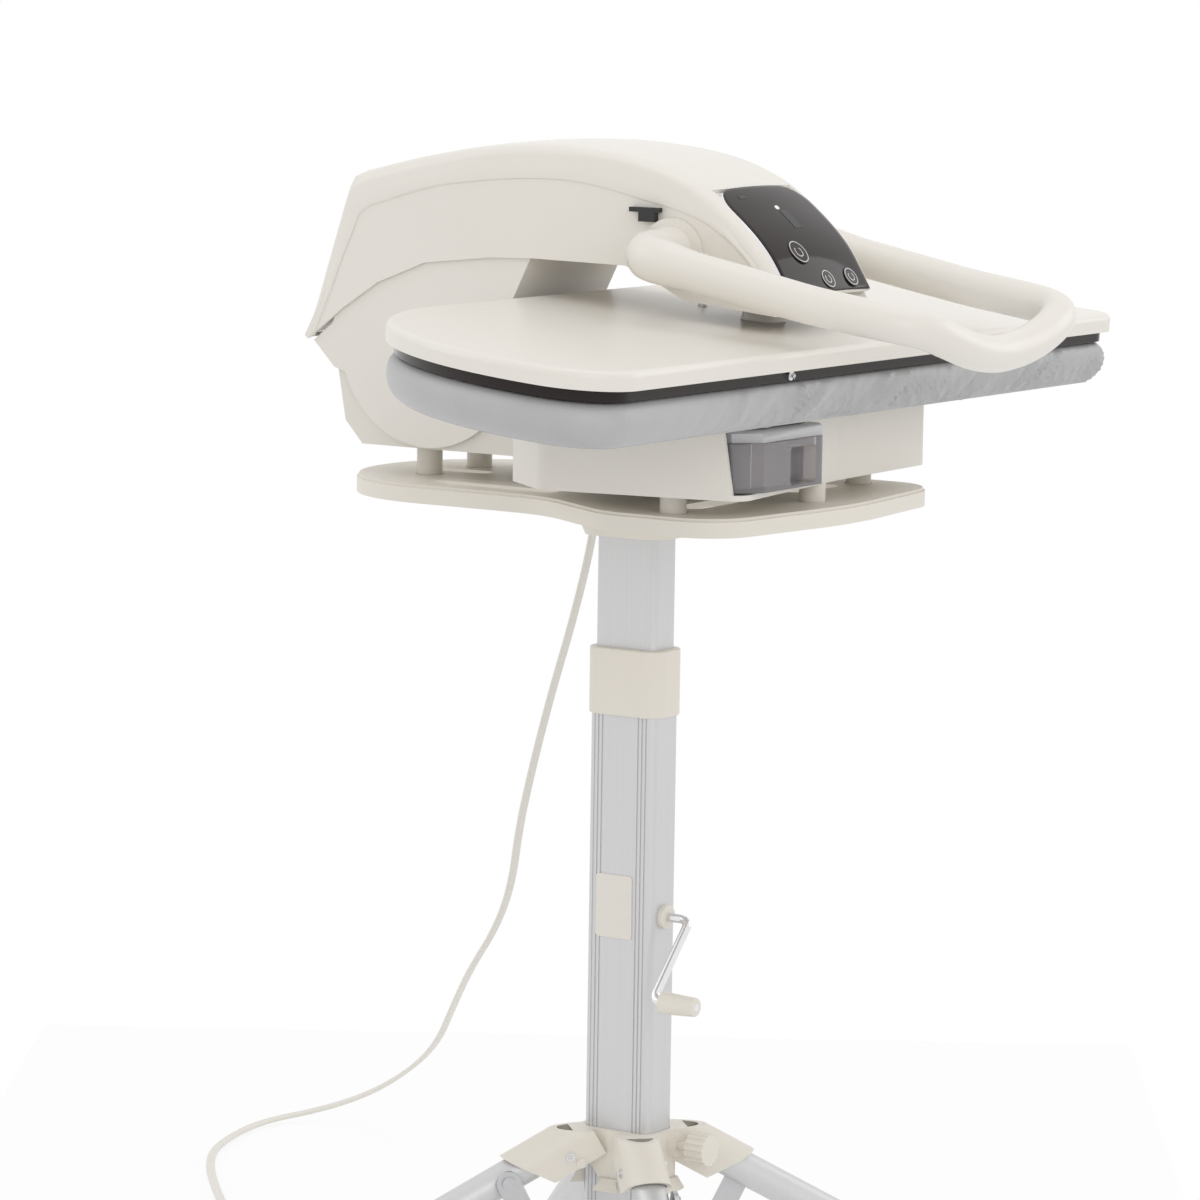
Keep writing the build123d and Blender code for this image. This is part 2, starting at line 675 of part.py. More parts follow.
    with BuildPart() as board:
        with BuildSketch(Plane.XY.offset(BASE_BOTTOM + 7)):
            with Locations((122, -70)):
                Rectangle(42, 90)
        extrude(amount=1.6)
        with BuildSketch(Plane.XY.offset(BASE_BOTTOM + 3)):
            with Locations((104, -108), (104, -32), (140, -108), (140, -32)):
                Circle(2.5)
        extrude(amount=4)
        with BuildSketch(Plane.XY.offset(BASE_BOTTOM + 8.6)):
            with Locations((118, -90), (124, -55)):
                RectangleRounded(20, 16, 2)
        extrude(amount=14)
    save(board.part, "power_board")

    with BuildPart() as gland:
        with BuildSketch(Plane.XZ.offset(-BASE_REAR + WALL)):
            with Locations(GLAND_AT):
                Circle(GLAND_R - 0.05)
        extrude(amount=-WALL)
        with BuildSketch(Plane.XZ.offset(-BASE_REAR)):
            with Locations(GLAND_AT):
                Circle(7.5)
        extrude(amount=-4)
        with BuildSketch(Plane.XZ.offset(-BASE_REAR - 4)):
            with Locations(GLAND_AT):
                Circle(5.6)
        extrude(amount=BASE_REAR + 4.5 - CORD_ROUTE[0][1], taper=2)
    save(gland.part, "cord_gland")


TANK_WALL = 2.5
TANK_CUT = 14
RECESS_WALL = 12
LID_THICK = 3
LID_RIB = 4


def tank_outline():
    """Drawer in plan, with its slanted front left corner."""
    left, right = TANK_X
    FilletPolyline(
        (left, TANK_BACK), (left, TANK_FRONT + TANK_CUT), (left + TANK_CUT, TANK_FRONT), (right, TANK_FRONT + 1),
        (right, TANK_BACK), radius=6, close=True,
    )


def make_tank():
    """Clear drawer tank with a finger recess in its front, and its ribbed lid."""
    left, right = TANK_X
    inner_left, inner_right = left + TANK_WALL, right - TANK_WALL
    with BuildPart() as tank:
        with BuildSketch(Plane.XY.offset(TANK_Z[0])):
            with BuildLine():
                tank_outline()
            make_face()
        extrude(amount=TANK_Z[1] - TANK_Z[0])
        with BuildSketch(Plane.XY.offset(TANK_Z[0] + TANK_WALL)):
            with BuildLine():
                FilletPolyline(
                    (inner_left, TANK_BACK - TANK_WALL), (inner_left, TANK_FRONT + TANK_CUT + 3),
                    (left + TANK_CUT + 3, TANK_FRONT + RECESS_WALL), (inner_right, TANK_FRONT + RECESS_WALL),
                    (inner_right, TANK_BACK - TANK_WALL), radius=4, close=True,
                )
            make_face()
        extrude(amount=TANK_Z[1], mode=Mode.SUBTRACT)
        with BuildSketch(Plane.XZ.offset(-TANK_FRONT + 10)):
            with Locations((right - 28, TANK_Z[0] + 14)):
                RectangleRounded(32, 24, 3)
        extrude(amount=-20, mode=Mode.SUBTRACT)
    save(tank.part, "water_tank")

    with BuildPart() as lid:
        with BuildSketch(Plane.XY.offset(TANK_Z[1])):
            with BuildLine():
                tank_outline()
            make_face()
        extrude(amount=LID_THICK)
        with BuildSketch(Plane.XY.offset(TANK_Z[1] + LID_THICK)):
            with Locations((left + 48, -110)):
                RectangleRounded(60, 24, 5)
        extrude(amount=LID_RIB)
    save(lid.part, "tank_lid")


def make_board():
    """Steel board sheet with its downturned edge, and the padded cover that lies on it."""
    with BuildPart() as sheet:
        with BuildSketch(press_plane(-PAD_GAP - PAD_THICK - SHEET)):
            with BuildLine():
                board_outline(12)
            make_face()
        extrude(amount=SHEET)
    save(sheet.part, "press_board")

    layers = [(-PAD_THICK, 9), (-PAD_THICK + 3, 5.5), (-PAD_THICK + 8, 3.4), (-9, 3.4), (-4, 5.5), (-1, 10)]
    with BuildPart() as pad:
        for below, above in zip(layers[:-1], layers[1:]):
            with BuildSketch(press_plane(-PAD_GAP + below[0])):
                with BuildLine():
                    board_outline(below[1])
                make_face()
            with BuildSketch(press_plane(-PAD_GAP + above[0])):
                with BuildLine():
                    board_outline(above[1])
                make_face()
            loft(ruled=True)
    save(pad.part, "pad")


# Arm

NOSE_LINE = [(-105, 797.5), (-128, 775.5), (-145, 749)]
TOP_LINE = [(189, 815), (133, 828), (80, 836), (27, 838), (-34, 831), (-76, 817)] + NOSE_LINE
NOSE_LIP = [(-152, 743), (-142, 735)]
SEAM_LINE = [(185, 786), (170, 797), (132, 805), (97, 811), (51, 815), (10, 814), (-34, 806), (-84, 793), (-121, 766)]
ARM_REAR = (232, 706)
CREASE_LINE = [(226, 701), (199, 722), (170, 741), (132, 756), (79, 762), (47, 763)]


def arm_profile():
    Spline(*TOP_LINE)
    Polyline(TOP_LINE[-1], *NOSE_LIP, (-70, 742), (-42, 756), (-25, 762), (47, 763))
    Polyline(*reversed(CREASE_LINE))
    Polyline(CREASE_LINE[0], ARM_REAR, TOP_LINE[0])


def above_seam():
    """Side-view region of the upper cover."""
    Spline(*SEAM_LINE)
    Polyline(SEAM_LINE[-1], (-136, 742), (-140, 730), (-200, 730), (-200, 860), (260, 860), (260, 700))
    Polyline((260, 700), (ARM_REAR[0] - 3, ARM_REAR[1] - 4), SEAM_LINE[0])


ARM_CAVITY = [
    (185, 806), (133, 822), (80, 830), (27, 832), (-34, 825), (-73, 809), (-99, 791.5), (-120, 770.5), (-134, 750),
    (-72, 746), (-44, 760), (-25, 766), (47, 767), (60, 700), (224, 690), (228, 706), (185, 806),
]


def arm_shell():
    """Hollow arm: the side profile pushed out to both cheeks, open below where the neck goes in."""
    with BuildPart() as shell:
        with BuildSketch(SIDE):
            with BuildLine():
                arm_profile()
            make_face()
        extrude(amount=ARM_HALF, both=True)
        fillet(shell.edges().filter_by(lambda e: e.center().Z > 780 and e.length > 200), radius=7)
        with BuildSketch(SIDE):
            with BuildLine():
                Polyline(*ARM_CAVITY)
            make_face()
        extrude(amount=ARM_HALF - WALL, both=True, mode=Mode.SUBTRACT)
    return shell


def make_arm():
    shell = arm_shell()
    with BuildPart() as cover:
        add(shell.part)
        with BuildSketch(SIDE):
            with BuildLine():
                above_seam()
            make_face()
        extrude(amount=ARM_HALF + 5, both=True, mode=Mode.INTERSECT)
    with BuildPart() as casing:
        add(shell.part)
        with BuildSketch(SIDE):
            with BuildLine():
                above_seam()
            make_face()
        extrude(amount=ARM_HALF + 5, both=True, mode=Mode.SUBTRACT)
        with BuildSketch(Plane.XY.offset(700)):
            with Locations((0, -97)):
                Rectangle(74, 54)
        extrude(amount=50, mode=Mode.SUBTRACT)
        with BuildSketch(SIDE.offset(-ARM_HALF - 1)):
            with Locations(HANDLE_PIVOT):
                Circle(BOSS_PIN_R)
        extrude(amount=2 * ARM_HALF + 2, mode=Mode.SUBTRACT)
    panel_cut = control_cutter()
    with BuildPart() as top:
        add(cover.part)
        add(panel_cut, mode=Mode.SUBTRACT)
        for name, (*_, radius) in BUTTONS.items():
            with BuildSketch(button_plane(name).offset(-14)):
                Circle(radius + 0.6)
            extrude(amount=24, mode=Mode.SUBTRACT)
    save(top.part, "arm_top_cover")
    save(casing.part, "arm_casing")

    with BuildPart() as neck:
        with BuildSketch(SIDE):
            with BuildLine():
                Polyline((49, 768), (50, 762), (66, 730))
                arc_end = (PIVOT[0] + DISC_R * cos(radians(-20)), PIVOT[1] + DISC_R * sin(radians(-20)))
                ThreePointArc((66, 730), (PIVOT[0], PIVOT[1] - DISC_R), arc_end)
                Polyline(arc_end, (206, 683), (223, 700), (208, 712), (184, 768), (49, 768))
            make_face()
        extrude(amount=NECK_HALF, both=True)
        with BuildSketch(SIDE):
            with BuildLine():
                Polyline(
                    (51.5, 790), (52.5, 763), (68.5, 731), (68.5, 702), (50, 702), (50, 600), (260, 600),
                    (260, 790), (51.5, 790),
                )
            make_face()
        extrude(amount=NECK_HALF - WALL, both=True, mode=Mode.SUBTRACT)
    save(neck.part, "arm_neck")

    with BuildPart() as beam:
        for side in (-1, 1):
            with BuildSketch(SIDE.offset(side * 24 - 2)):
                with BuildLine():
                    Polyline(
                        (145, PIVOT[1] - 8), (146, 716), (128, 792), (96, 800), (-88, 788), (-94, 770),
                        (88, 776), (112, 696), (120, 690), (136, 690), (145, PIVOT[1] - 8),
                    )
                make_face()
                with Locations(PIVOT):
                    Circle(7, mode=Mode.SUBTRACT)
            extrude(amount=4)
        with BuildSketch(Plane.XY.offset(776)):
            with Locations((0, 30)):
                Rectangle(44, 120)
        extrude(amount=3)
        with BuildSketch(Plane.XY.offset(770)):
            with Locations((0, -84)):
                Rectangle(44, 20)
        extrude(amount=6)
    save(beam.part, "arm_beam")

    with BuildPart() as bracket:
        with BuildSketch(press_plane(COVER_TOP)):
            with Locations((0, 94)):
                RectangleRounded(70, 46, 10)
        extrude(amount=BRACKET_FOOT)
        with BuildSketch(press_plane(COVER_TOP + BRACKET_FOOT)):
            with Locations((0, 98)):
                RectangleRounded(56, 26, 8)
        extrude(amount=43 - BRACKET_FOOT)
        with BuildSketch(Plane.XY.offset(770)):
            with Locations((0, -95)):
                Rectangle(160, 160)
        extrude(amount=40, mode=Mode.SUBTRACT)
    save(bracket.part, "plate_bracket")

    with BuildPart() as bosses:
        for side in (-1, 1):
            start = side * (ARM_HALF + 0.2)
            with BuildSketch(SIDE.offset(start)):
                with Locations(HANDLE_PIVOT):
                    Circle(BOSS_R)
            extrude(amount=side * 4)
            with BuildSketch(SIDE.offset(side * (ARM_HALF - 12))):
                with Locations(HANDLE_PIVOT):
                    Circle(BOSS_PIN_R - 0.05)
            extrude(amount=side * 44)
    save(bosses.part, "handle_bosses")


def control_cutter():
    """Space of the control panel in the nose of the upper cover."""
    with BuildPart() as cutter:
        with BuildSketch(SIDE):
            with BuildLine():
                panel_band(PANEL_THICK + 0.3, 6)
            make_face()
        extrude(amount=PANEL_HALF, both=True)
    return cutter.part


PANEL_LINE = [(-84, 812.3)] + NOSE_LINE
PANEL_INWARD = [(0.5, -0.87), (0.62, -0.78), (0.8, -0.6), (1, -0.2)]


def panel_line(move):
    """The nose line under the panel, moved inwards."""
    return [(y + move * a, z + move * b) for (y, z), (a, b) in zip(PANEL_LINE, PANEL_INWARD)]


def panel_band(depth, proud=0):
    """Closed band along the nose, from proud above its surface to depth below it."""
    inner = panel_line(depth)
    mid = Spline(*panel_line(-proud))
    Line(mid @ 1, inner[-1])
    low = Spline(*reversed(inner))
    Line(low @ 1, mid @ 0)


# Each button: across, back and up to the middle of its face, slope of the nose there, radius
BUTTONS = {
    "power_button": (-18, -129.6, 773.5, 50, 9),
    "mode_button": (0, -141.1, 756.2, 56, 7),
    "steam_button": (28, -141.1, 756.2, 56, 7),
}
BUTTON_LENGTH = 5.5
BUTTON_PROUD = 1


def button_plane(name):
    """Frame on the panel's outer face at one button: x across, z outwards."""
    x, y, z, slope, _ = BUTTONS[name]
    normal = Vector(0, -sin(radians(slope)), cos(radians(slope)))
    return Plane(origin=(x, y, z), x_dir=(1, 0, 0), z_dir=normal)


def make_panel():
    with BuildPart() as panel:
        with BuildSketch(SIDE):
            with BuildLine():
                panel_band(PANEL_THICK)
            make_face()
        extrude(amount=PANEL_HALF - 0.3, both=True)
        for name, (*_, radius) in BUTTONS.items():
            with BuildSketch(button_plane(name).offset(-8)):
                Circle(radius + 0.3)
            extrude(amount=14, mode=Mode.SUBTRACT)
    save(panel.part, "control_panel")

    for name, (*_, radius) in BUTTONS.items():
        with BuildPart() as button:
            with BuildSketch(button_plane(name).offset(BUTTON_PROUD - BUTTON_LENGTH)):
                Circle(radius)
            extrude(amount=BUTTON_LENGTH)
            fillet(button.edges().filter_by(GeomType.CIRCLE).sort_by(Axis.Z)[-1], radius=0.4)
        save(button.part, name)

    with BuildPart() as circuit:
        carrier = Plane(origin=(0, -119.5, 761), x_dir=(1, 0, 0), z_dir=(0, -sin(radians(54)), cos(radians(54))))
        with BuildSketch(carrier):
            Rectangle(76, 22)
        extrude(amount=1.6)
        with BuildSketch(carrier.offset(1.6)):
            with Locations((-28, 3), (12, 3)):
                Rectangle(12, 10)
        extrude(amount=2)
    save(circuit.part, "control_board")


def make_plate():
    """Heated sole plate with steam holes, dark heat guard round it, and the cream cover on top."""
    with BuildPart() as sole:
        with BuildSketch(press_plane(0)):
            with BuildLine():
                board_outline(14)
            make_face()
        extrude(amount=GUARD_TOP)
        holes = [
            (x, y) for x in range(-240, 290, 40) for y in range(30, 225, 30)
            if y < 45 + 180 * sqrt(max(0.0, 1 - (min(x + 170, 0) / 150.0) ** 2))
        ]
        with BuildSketch(press_plane(0)):
            with Locations(*holes):
                Circle(1.6)
        extrude(amount=5, mode=Mode.SUBTRACT)
    save(sole.part, "heated_plate")

    with BuildPart() as guard:
        with BuildSketch(press_plane(0)):
            with BuildLine():
                board_outline(6)
            make_face()
            with BuildLine():
                board_outline(13.8)
            make_face(mode=Mode.SUBTRACT)
        extrude(amount=GUARD_TOP)
        fillet(guard.edges().group_by(Axis.Z)[0][:1], radius=0.5)
    save(guard.part, "heat_guard")

    with BuildPart() as cover:
        with BuildSketch(press_plane(GUARD_TOP)):
            with BuildLine():
                board_outline()
            make_face()
        extrude(amount=COVER_TOP - GUARD_TOP)
        top = cover.faces().sort_by(SortBy.AREA)[-2:].sort_by(Axis.Z)[-1]
        fillet(top.edges(), radius=4)
        with BuildSketch(press_plane(GUARD_TOP)):
            with BuildLine():
                board_outline(3)
            make_face()
        extrude(amount=COVER_TOP - GUARD_TOP - 3, mode=Mode.SUBTRACT)
    save(cover.part, "plate_cover")


def make_handle():
    """One closed loop: an elbow and arm on each side, joined by a bowed grip."""
    half = HANDLE_HALF
    y0, z0 = HANDLE_PIVOT
    with BuildPart() as handle:
        with BuildLine():
            Spline(
                (-half, y0 + 2, z0), (-half, -110, 763), (-half, -190, 748), (-half + 2, -248, 739),
                (-half + 28, -268, 726), (0, -266, 717), (half - 28, -268, 726), (half - 2, -248, 739),
                (half, -190, 748), (half, -110, 763), (half, y0 + 2, z0),
                tangents=[(0, -1, -0.1), (0, 1, 0.1)],
            )
        with BuildSketch(Plane.XZ.offset(-(y0 + 2))):
            with Locations((-half, z0)):
                Ellipse(10.5, 11.5)
        sweep(is_frenet=False)
        for side in (-1, 1):
            with BuildSketch(SIDE.offset(side * (ARM_HALF + 4.6))):
                with Locations(HANDLE_PIVOT):
                    Circle(17)
            extrude(amount=side * (half - ARM_HALF))
            with BuildSketch(SIDE.offset(side * (ARM_HALF + 4))):
                with Locations(HANDLE_PIVOT):
                    Circle(BOSS_PIN_R)
            extrude(amount=side * 30, mode=Mode.SUBTRACT)
    save(handle.part, "handle")

    with BuildPart() as lock:
        with BuildSketch(SIDE.offset(-ARM_HALF - 0.3)):
            with BuildLine():
                Polyline(
                    (-31, 800), (-53, 800), (-53, 797), (-50, 797), (-50, 791), (-38, 791), (-38, 797), (-31, 797),
                    (-31, 800),
                )
            make_face()
        extrude(amount=-5)
    save(lock.part, "lock_lever")


# Mains cord

def bend_radii(route):
    """As large an arc at each corner as its two runs allow."""
    radii = []
    for before, here, after in zip(route, route[1:], route[2:]):
        first, second = Vector(*here) - Vector(*before), Vector(*after) - Vector(*here)
        shorter = min(first.length, second.length)
        radii.append(0.45 * shorter / tan(radians(first.get_angle(second)) / 2))
    return radii


def coil_plane():
    """Floor frame of the coil: y runs on in the cord's last direction, x outwards to its first turn."""
    last = Vector(*CORD_ROUTE[-1]) - Vector(*CORD_ROUTE[-2])
    ahead = last.normalized()
    out = Vector(ahead.Y, -ahead.X, 0)
    start = Vector(*CORD_ROUTE[-1]) + ahead * (2 * CORD_R)
    return Plane(origin=start - out * COIL_R, x_dir=out, z_dir=(0, 0, 1))


def coil_turns():
    """Half turns that spiral in on the floor, climb one layer and spiral out again on top."""
    x, height, radius, side = COIL_R, 0, COIL_R, 1
    turns = []
    for step in (-1, -1, -1, 0, 1, 1):
        rise = COIL_PITCH if step == 0 else 0
        end = x - side * 2 * radius
        turns.append(((x, 0, height), ((x + end) / 2, side * radius, height + rise / 2), (end, 0, height + rise)))
        x, height, side = end, height + rise, -side
        radius += (step if step else 1) * COIL_PITCH / 2
    return turns


def make_cord():
    with BuildPart() as free:
        with BuildLine() as path:
            FilletPolyline(*CORD_ROUTE, radius=bend_radii(CORD_ROUTE))
        wire = path.wire()
        with BuildSketch(Plane(origin=wire @ 0, z_dir=wire % 0)):
            Circle(CORD_R)
        sweep()
    save(free.part, "cord_free")
    print("bend radii", [round(r) for r in bend_radii(CORD_ROUTE)])
    length = wire.length
    print("cord length", round(length), "volume ratio", round(free.part.volume / (pi * CORD_R**2 * length), 4))

    plane, turns = coil_plane(), coil_turns()
    first, last = turns[0][0], turns[-1][2]
    with BuildPart() as coil:
        with BuildLine(plane) as path:
            Line((first[0], -2 * CORD_R, 0), first)
            for turn in turns:
                ThreePointArc(*turn)
            Line(last, (last[0], COIL_LEAD, last[2]))
        wire = path.wire()
        with BuildSketch(Plane(origin=wire @ 0, z_dir=wire % 0)):
            Circle(CORD_R)
        sweep()
    save(coil.part, "cord_coil")
    points = [wire @ (i / 600) for i in range(601)]
    spare = wire.length / 600
    apart = [
        (points[i] - points[j]).length - 2 * CORD_R
        for i in range(0, 601, 3) for j in range(i + int(40 / spare), 601)
    ]
    print("coil length", round(wire.length), "least gap", round(min(apart), 2))

    height = last[2] + CORD_R
    nose = Plane(origin=plane.from_local_coords(Vector(last[0], COIL_LEAD, last[2])), x_dir=plane.x_dir,
                 z_dir=plane.y_dir)
    with BuildPart() as plug:
        with BuildSketch(nose):
            RectangleRounded(12, 10, 4)
        with BuildSketch(nose.offset(16)):
            RectangleRounded(36, 2 * height, 6)
        loft()
        with BuildSketch(nose.offset(16)):
            RectangleRounded(36, 2 * height, 6)
        extrude(amount=22)
        with BuildSketch(nose.offset(38)):
            with Locations((-9.5, 0), (9.5, 0)):
                Circle(2.4)
        extrude(amount=19)
    save(plug.part, "plug")


make_mast()
make_crank()
make_legs()
make_hub()
make_tray()
make_base()
make_tank()
make_board()
make_arm()
make_panel()
make_plate()
make_handle()
make_cord()
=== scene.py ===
from math import cos, pi, radians, sin

import bmesh
import bpy
from mathutils import Matrix, Vector, noise


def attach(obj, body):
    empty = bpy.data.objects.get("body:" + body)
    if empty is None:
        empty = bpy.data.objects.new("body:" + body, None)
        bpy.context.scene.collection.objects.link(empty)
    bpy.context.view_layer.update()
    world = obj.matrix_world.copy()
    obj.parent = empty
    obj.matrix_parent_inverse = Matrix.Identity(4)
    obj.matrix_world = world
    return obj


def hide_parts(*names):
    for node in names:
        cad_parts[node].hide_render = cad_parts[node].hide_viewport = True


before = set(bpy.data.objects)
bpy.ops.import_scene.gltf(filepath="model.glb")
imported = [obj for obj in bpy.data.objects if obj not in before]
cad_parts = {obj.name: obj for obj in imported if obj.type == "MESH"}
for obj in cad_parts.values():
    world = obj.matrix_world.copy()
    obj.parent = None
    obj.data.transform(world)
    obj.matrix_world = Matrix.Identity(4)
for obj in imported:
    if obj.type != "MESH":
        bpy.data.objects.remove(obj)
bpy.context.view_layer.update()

# Camera and daylight
# A long lens a little above the pressing plane, to the user's left, rolled by under a degree.
# Large soft lamps stand all round, as in a white studio, and the world shows white to the camera.
CAMERA_AT = Vector((-2.8934, -1.8790, 0.995))
HEADING, PITCH, ROLL = radians(56.608), radians(7.54), radians(0.86)
forward = Vector((sin(HEADING) * cos(PITCH), cos(HEADING) * cos(PITCH), -sin(PITCH)))
level = Vector((cos(HEADING), -sin(HEADING), 0))
below = Vector((-sin(HEADING) * sin(PITCH), -cos(HEADING) * sin(PITCH), -cos(PITCH)))
across = level * cos(ROLL) - below * sin(ROLL)
upright = -(level * sin(ROLL) + below * cos(ROLL))
camera = bpy.data.objects.new("camera", bpy.data.cameras.new("camera"))
camera.data.sensor_fit = "HORIZONTAL"
camera.data.sensor_width = 36
camera.data.lens = 159.4
camera.data.clip_end = 50
camera.matrix_world = Matrix([
    (across[i], upright[i], -forward[i], CAMERA_AT[i]) for i in range(3)
] + [(0, 0, 0, 1)])
bpy.context.collection.objects.link(camera)
bpy.context.scene.camera = camera
bpy.context.scene.view_settings.view_transform = "Standard"

LAMPS = {
    "lamp_above": ((0.2, -0.3, 3.2), 2.6, 9),
    "lamp_front": ((-2.4, -2.6, 1.9), 2.2, 14),
    "lamp_right": ((2.8, -1.8, 1.8), 2.0, 10),
    "lamp_rear": ((-1.2, 3.0, 2.2), 2.2, 9),
}
for name, (place, size, power) in LAMPS.items():
    lamp = bpy.data.objects.new(name, bpy.data.lights.new(name, "AREA"))
    lamp.data.shape = "DISK"
    lamp.data.size = size
    lamp.data.energy = power
    lamp.location = place
    lamp.rotation_euler = (Vector((0, 0, 0.6)) - Vector(place)).to_track_quat("-Z", "Y").to_euler()
    bpy.context.collection.objects.link(lamp)


# Mains cord
# Flat twin flex in a pale sheath. It hangs from the strain relief behind the base, lies on the floor
# and ends in a small put-away coil with its moulded plug.

class Socket:
    """A node's output that sums and products can be written with."""

    def __init__(self, owner, port):
        self.owner, self.port = owner, port

    def math(self, operation, other, turned=False):
        first, second = (other, self) if turned else (self, other)
        return self.owner.node("ShaderNodeMath", {"operation": operation}, {0: first, 1: second})

    def __add__(self, other):
        return self.math("ADD", other)

    def __sub__(self, other):
        return self.math("SUBTRACT", other)

    def __rsub__(self, other):
        return self.math("SUBTRACT", other, True)

    def __mul__(self, other):
        return self.math("MULTIPLY", other)

    def __pow__(self, other):
        return self.math("POWER", other)

    __radd__ = __add__
    __rmul__ = __mul__


class Finish:
    """A material while its nodes are put together."""

    def __init__(self, name):
        self.material = bpy.data.materials.new(name)
        self.material.use_nodes = True
        self.tree = self.material.node_tree
        self.shader = self.tree.nodes["Principled BSDF"]

    def set(self, port, value):
        if isinstance(value, Socket):
            self.tree.links.new(value.port, port)
        else:
            port.default_value = value

    def node(self, kind, settings, values, out=0):
        made = self.tree.nodes.new(kind)
        for key, value in settings.items():
            setattr(made, key, value)
        for key, value in values.items():
            self.set(made.inputs[key], value)
        return Socket(self, made.outputs[out])

    def place(self, stretch=(1, 1, 1)):
        here = self.node("ShaderNodeTexCoord", {}, {}, "Object")
        return self.node("ShaderNodeMapping", {}, {"Vector": here, "Scale": stretch})

    def cloud(self, place, scale, detail=3):
        return self.node("ShaderNodeTexNoise", {}, {"Vector": place, "Scale": scale, "Detail": detail})

    def mix(self, factor, first, second):
        return self.node("ShaderNodeMix", {"data_type": "RGBA"}, {0: factor, 6: first, 7: second}, 2)

    def relief(self, height, strength, depth):
        return self.node("ShaderNodeBump", {}, {"Height": height, "Strength": strength, "Distance": depth})

    def surface(self, values):
        for key, value in values.items():
            self.set(self.shader.inputs[key], value)
        return self.material


def tint(colour, strength=1.0):
    return (colour[0] * strength, colour[1] * strength, colour[2] * strength, 1)


def moulded(name, colour, rough, grain=0.05, coat=0.0, specular=0.5):
    """Moulded plastic: a faint cloud in its colour, a fine grain, and a gloss that varies a little."""
    finish = Finish(name)
    cloud = finish.cloud(finish.place(), 9)
    grains = finish.cloud(finish.place(), 1400, 2)
    scuff = finish.cloud(finish.place((1, 1, 3)), 60, 5)
    return finish.surface({
        "Base Color": finish.mix(cloud, tint(colour, 0.975), tint(colour, 1.02)),
        "Roughness": rough + 0.10 * (cloud - 0.5) + 0.06 * (scuff - 0.5),
        "Normal": finish.relief(grains, grain, 0.0002),
        "Specular IOR Level": specular,
        "Coat Weight": coat,
        "Coat Roughness": 0.12,
    })


def skin(name, rings, material, closed=True, caps=True, sharp=40):
    """One surface through rings of equally many points."""
    build = bmesh.new()
    rows = [[build.verts.new(point) for point in ring] for ring in rings]
    count = len(rows[0])
    for one, two in zip(rows, rows[1:]):
        for i in range(count if closed else count - 1):
            j = (i + 1) % count
            build.faces.new((one[i], one[j], two[j], two[i]))
    if caps:
        build.faces.new(rows[0][::-1])
        build.faces.new(rows[-1])
    bmesh.ops.recalc_face_normals(build, faces=build.faces)
    mesh = bpy.data.meshes.new(name)
    build.to_mesh(mesh)
    build.free()
    mesh.materials.append(material)
    mesh.shade_smooth()
    mesh.set_sharp_from_angle(angle=radians(sharp))
    piece = bpy.data.objects.new(name, mesh)
    bpy.context.collection.objects.link(piece)
    return piece


def tube_rings(path, section):
    """Rings along a path. section(share) gives the points, across and up, at that share of its length."""
    rings = []
    up = Vector((0, 0, 1))
    last = len(path) - 1
    for k, point in enumerate(path):
        along = (path[min(k + 1, last)] - path[max(k - 1, 0)]).normalized()
        side = along.cross(up)
        if side.length < 0.05:
            side = along.cross(Vector((0, 1, 0)))
        side.normalize()
        up = side.cross(along)
        rings.append([point + side * a + up * b for a, b in section(k / last)])
    return rings


def dress(material, *names):
    """Give CAD nodes whose shape is right their finish."""
    for name in names:
        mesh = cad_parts[name].data
        mesh.materials.clear()
        mesh.materials.append(material)


CORD_WIDE, CORD_HIGH = 0.007, 0.0044
CORD_ROUTE = [
    (0.118, 0.056, 0.645), (0.119, 0.080, 0.643), (0.122, 0.101, 0.628), (0.125, 0.112, 0.598),
    (0.129, 0.121, 0.553), (0.141, 0.144, 0.496), (0.158, 0.171, 0.445), (0.179, 0.200, 0.389),
    (0.204, 0.229, 0.335), (0.234, 0.255, 0.286), (0.276, 0.297, 0.242), (0.330, 0.358, 0.194),
    (0.390, 0.415, 0.148), (0.448, 0.470, 0.102), (0.500, 0.533, 0.063), (0.533, 0.596, 0.029),
    (0.532, 0.645, 0.009), (0.493, 0.672, 0.0035), (0.440, 0.663, 0.0035), (0.385, 0.643, 0.0035),
    (0.335, 0.607, 0.0035), (0.286, 0.563, 0.0035), (0.235, 0.514, 0.0035), (0.184, 0.463, 0.0035),
]
COIL_RADIUS, LAYER, TURN_POINTS = 0.042, 0.0076, 8
COIL_ENTRY = 0.007
COIL_LEAD = (0.005, 0.015, 0.030, 0.050)
COIL_SWELL = 1.01


def coil_route():
    """Points of half turns that wind inwards on the floor, climb one layer and wind out on top."""
    ahead = (Vector(CORD_ROUTE[-1]) - Vector(CORD_ROUTE[-2])).normalized()
    out = Vector((ahead.y, -ahead.x, 0))
    middle = Vector(CORD_ROUTE[-1]) + ahead * COIL_ENTRY - out * COIL_RADIUS
    x, height, radius, side = COIL_RADIUS, 0, COIL_RADIUS, 1
    points = []
    for change in (-1, -1, -1, 0, 1, 1):
        climb = LAYER if change == 0 else 0
        for k in range(TURN_POINTS):
            share = (k + 0.5) / TURN_POINTS
            reach = side * radius * COIL_SWELL
            points.append(
                middle + out * (x - side * radius + reach * cos(pi * share)) + ahead * reach * sin(pi * share)
                + Vector((0, 0, height + climb * share))
            )
        x, height, side = x - side * 2 * radius, height + climb, -side
        radius += (change if change else 1) * LAYER / 2
    return points + [middle + out * x + ahead * lead + Vector((0, 0, height)) for lead in COIL_LEAD]


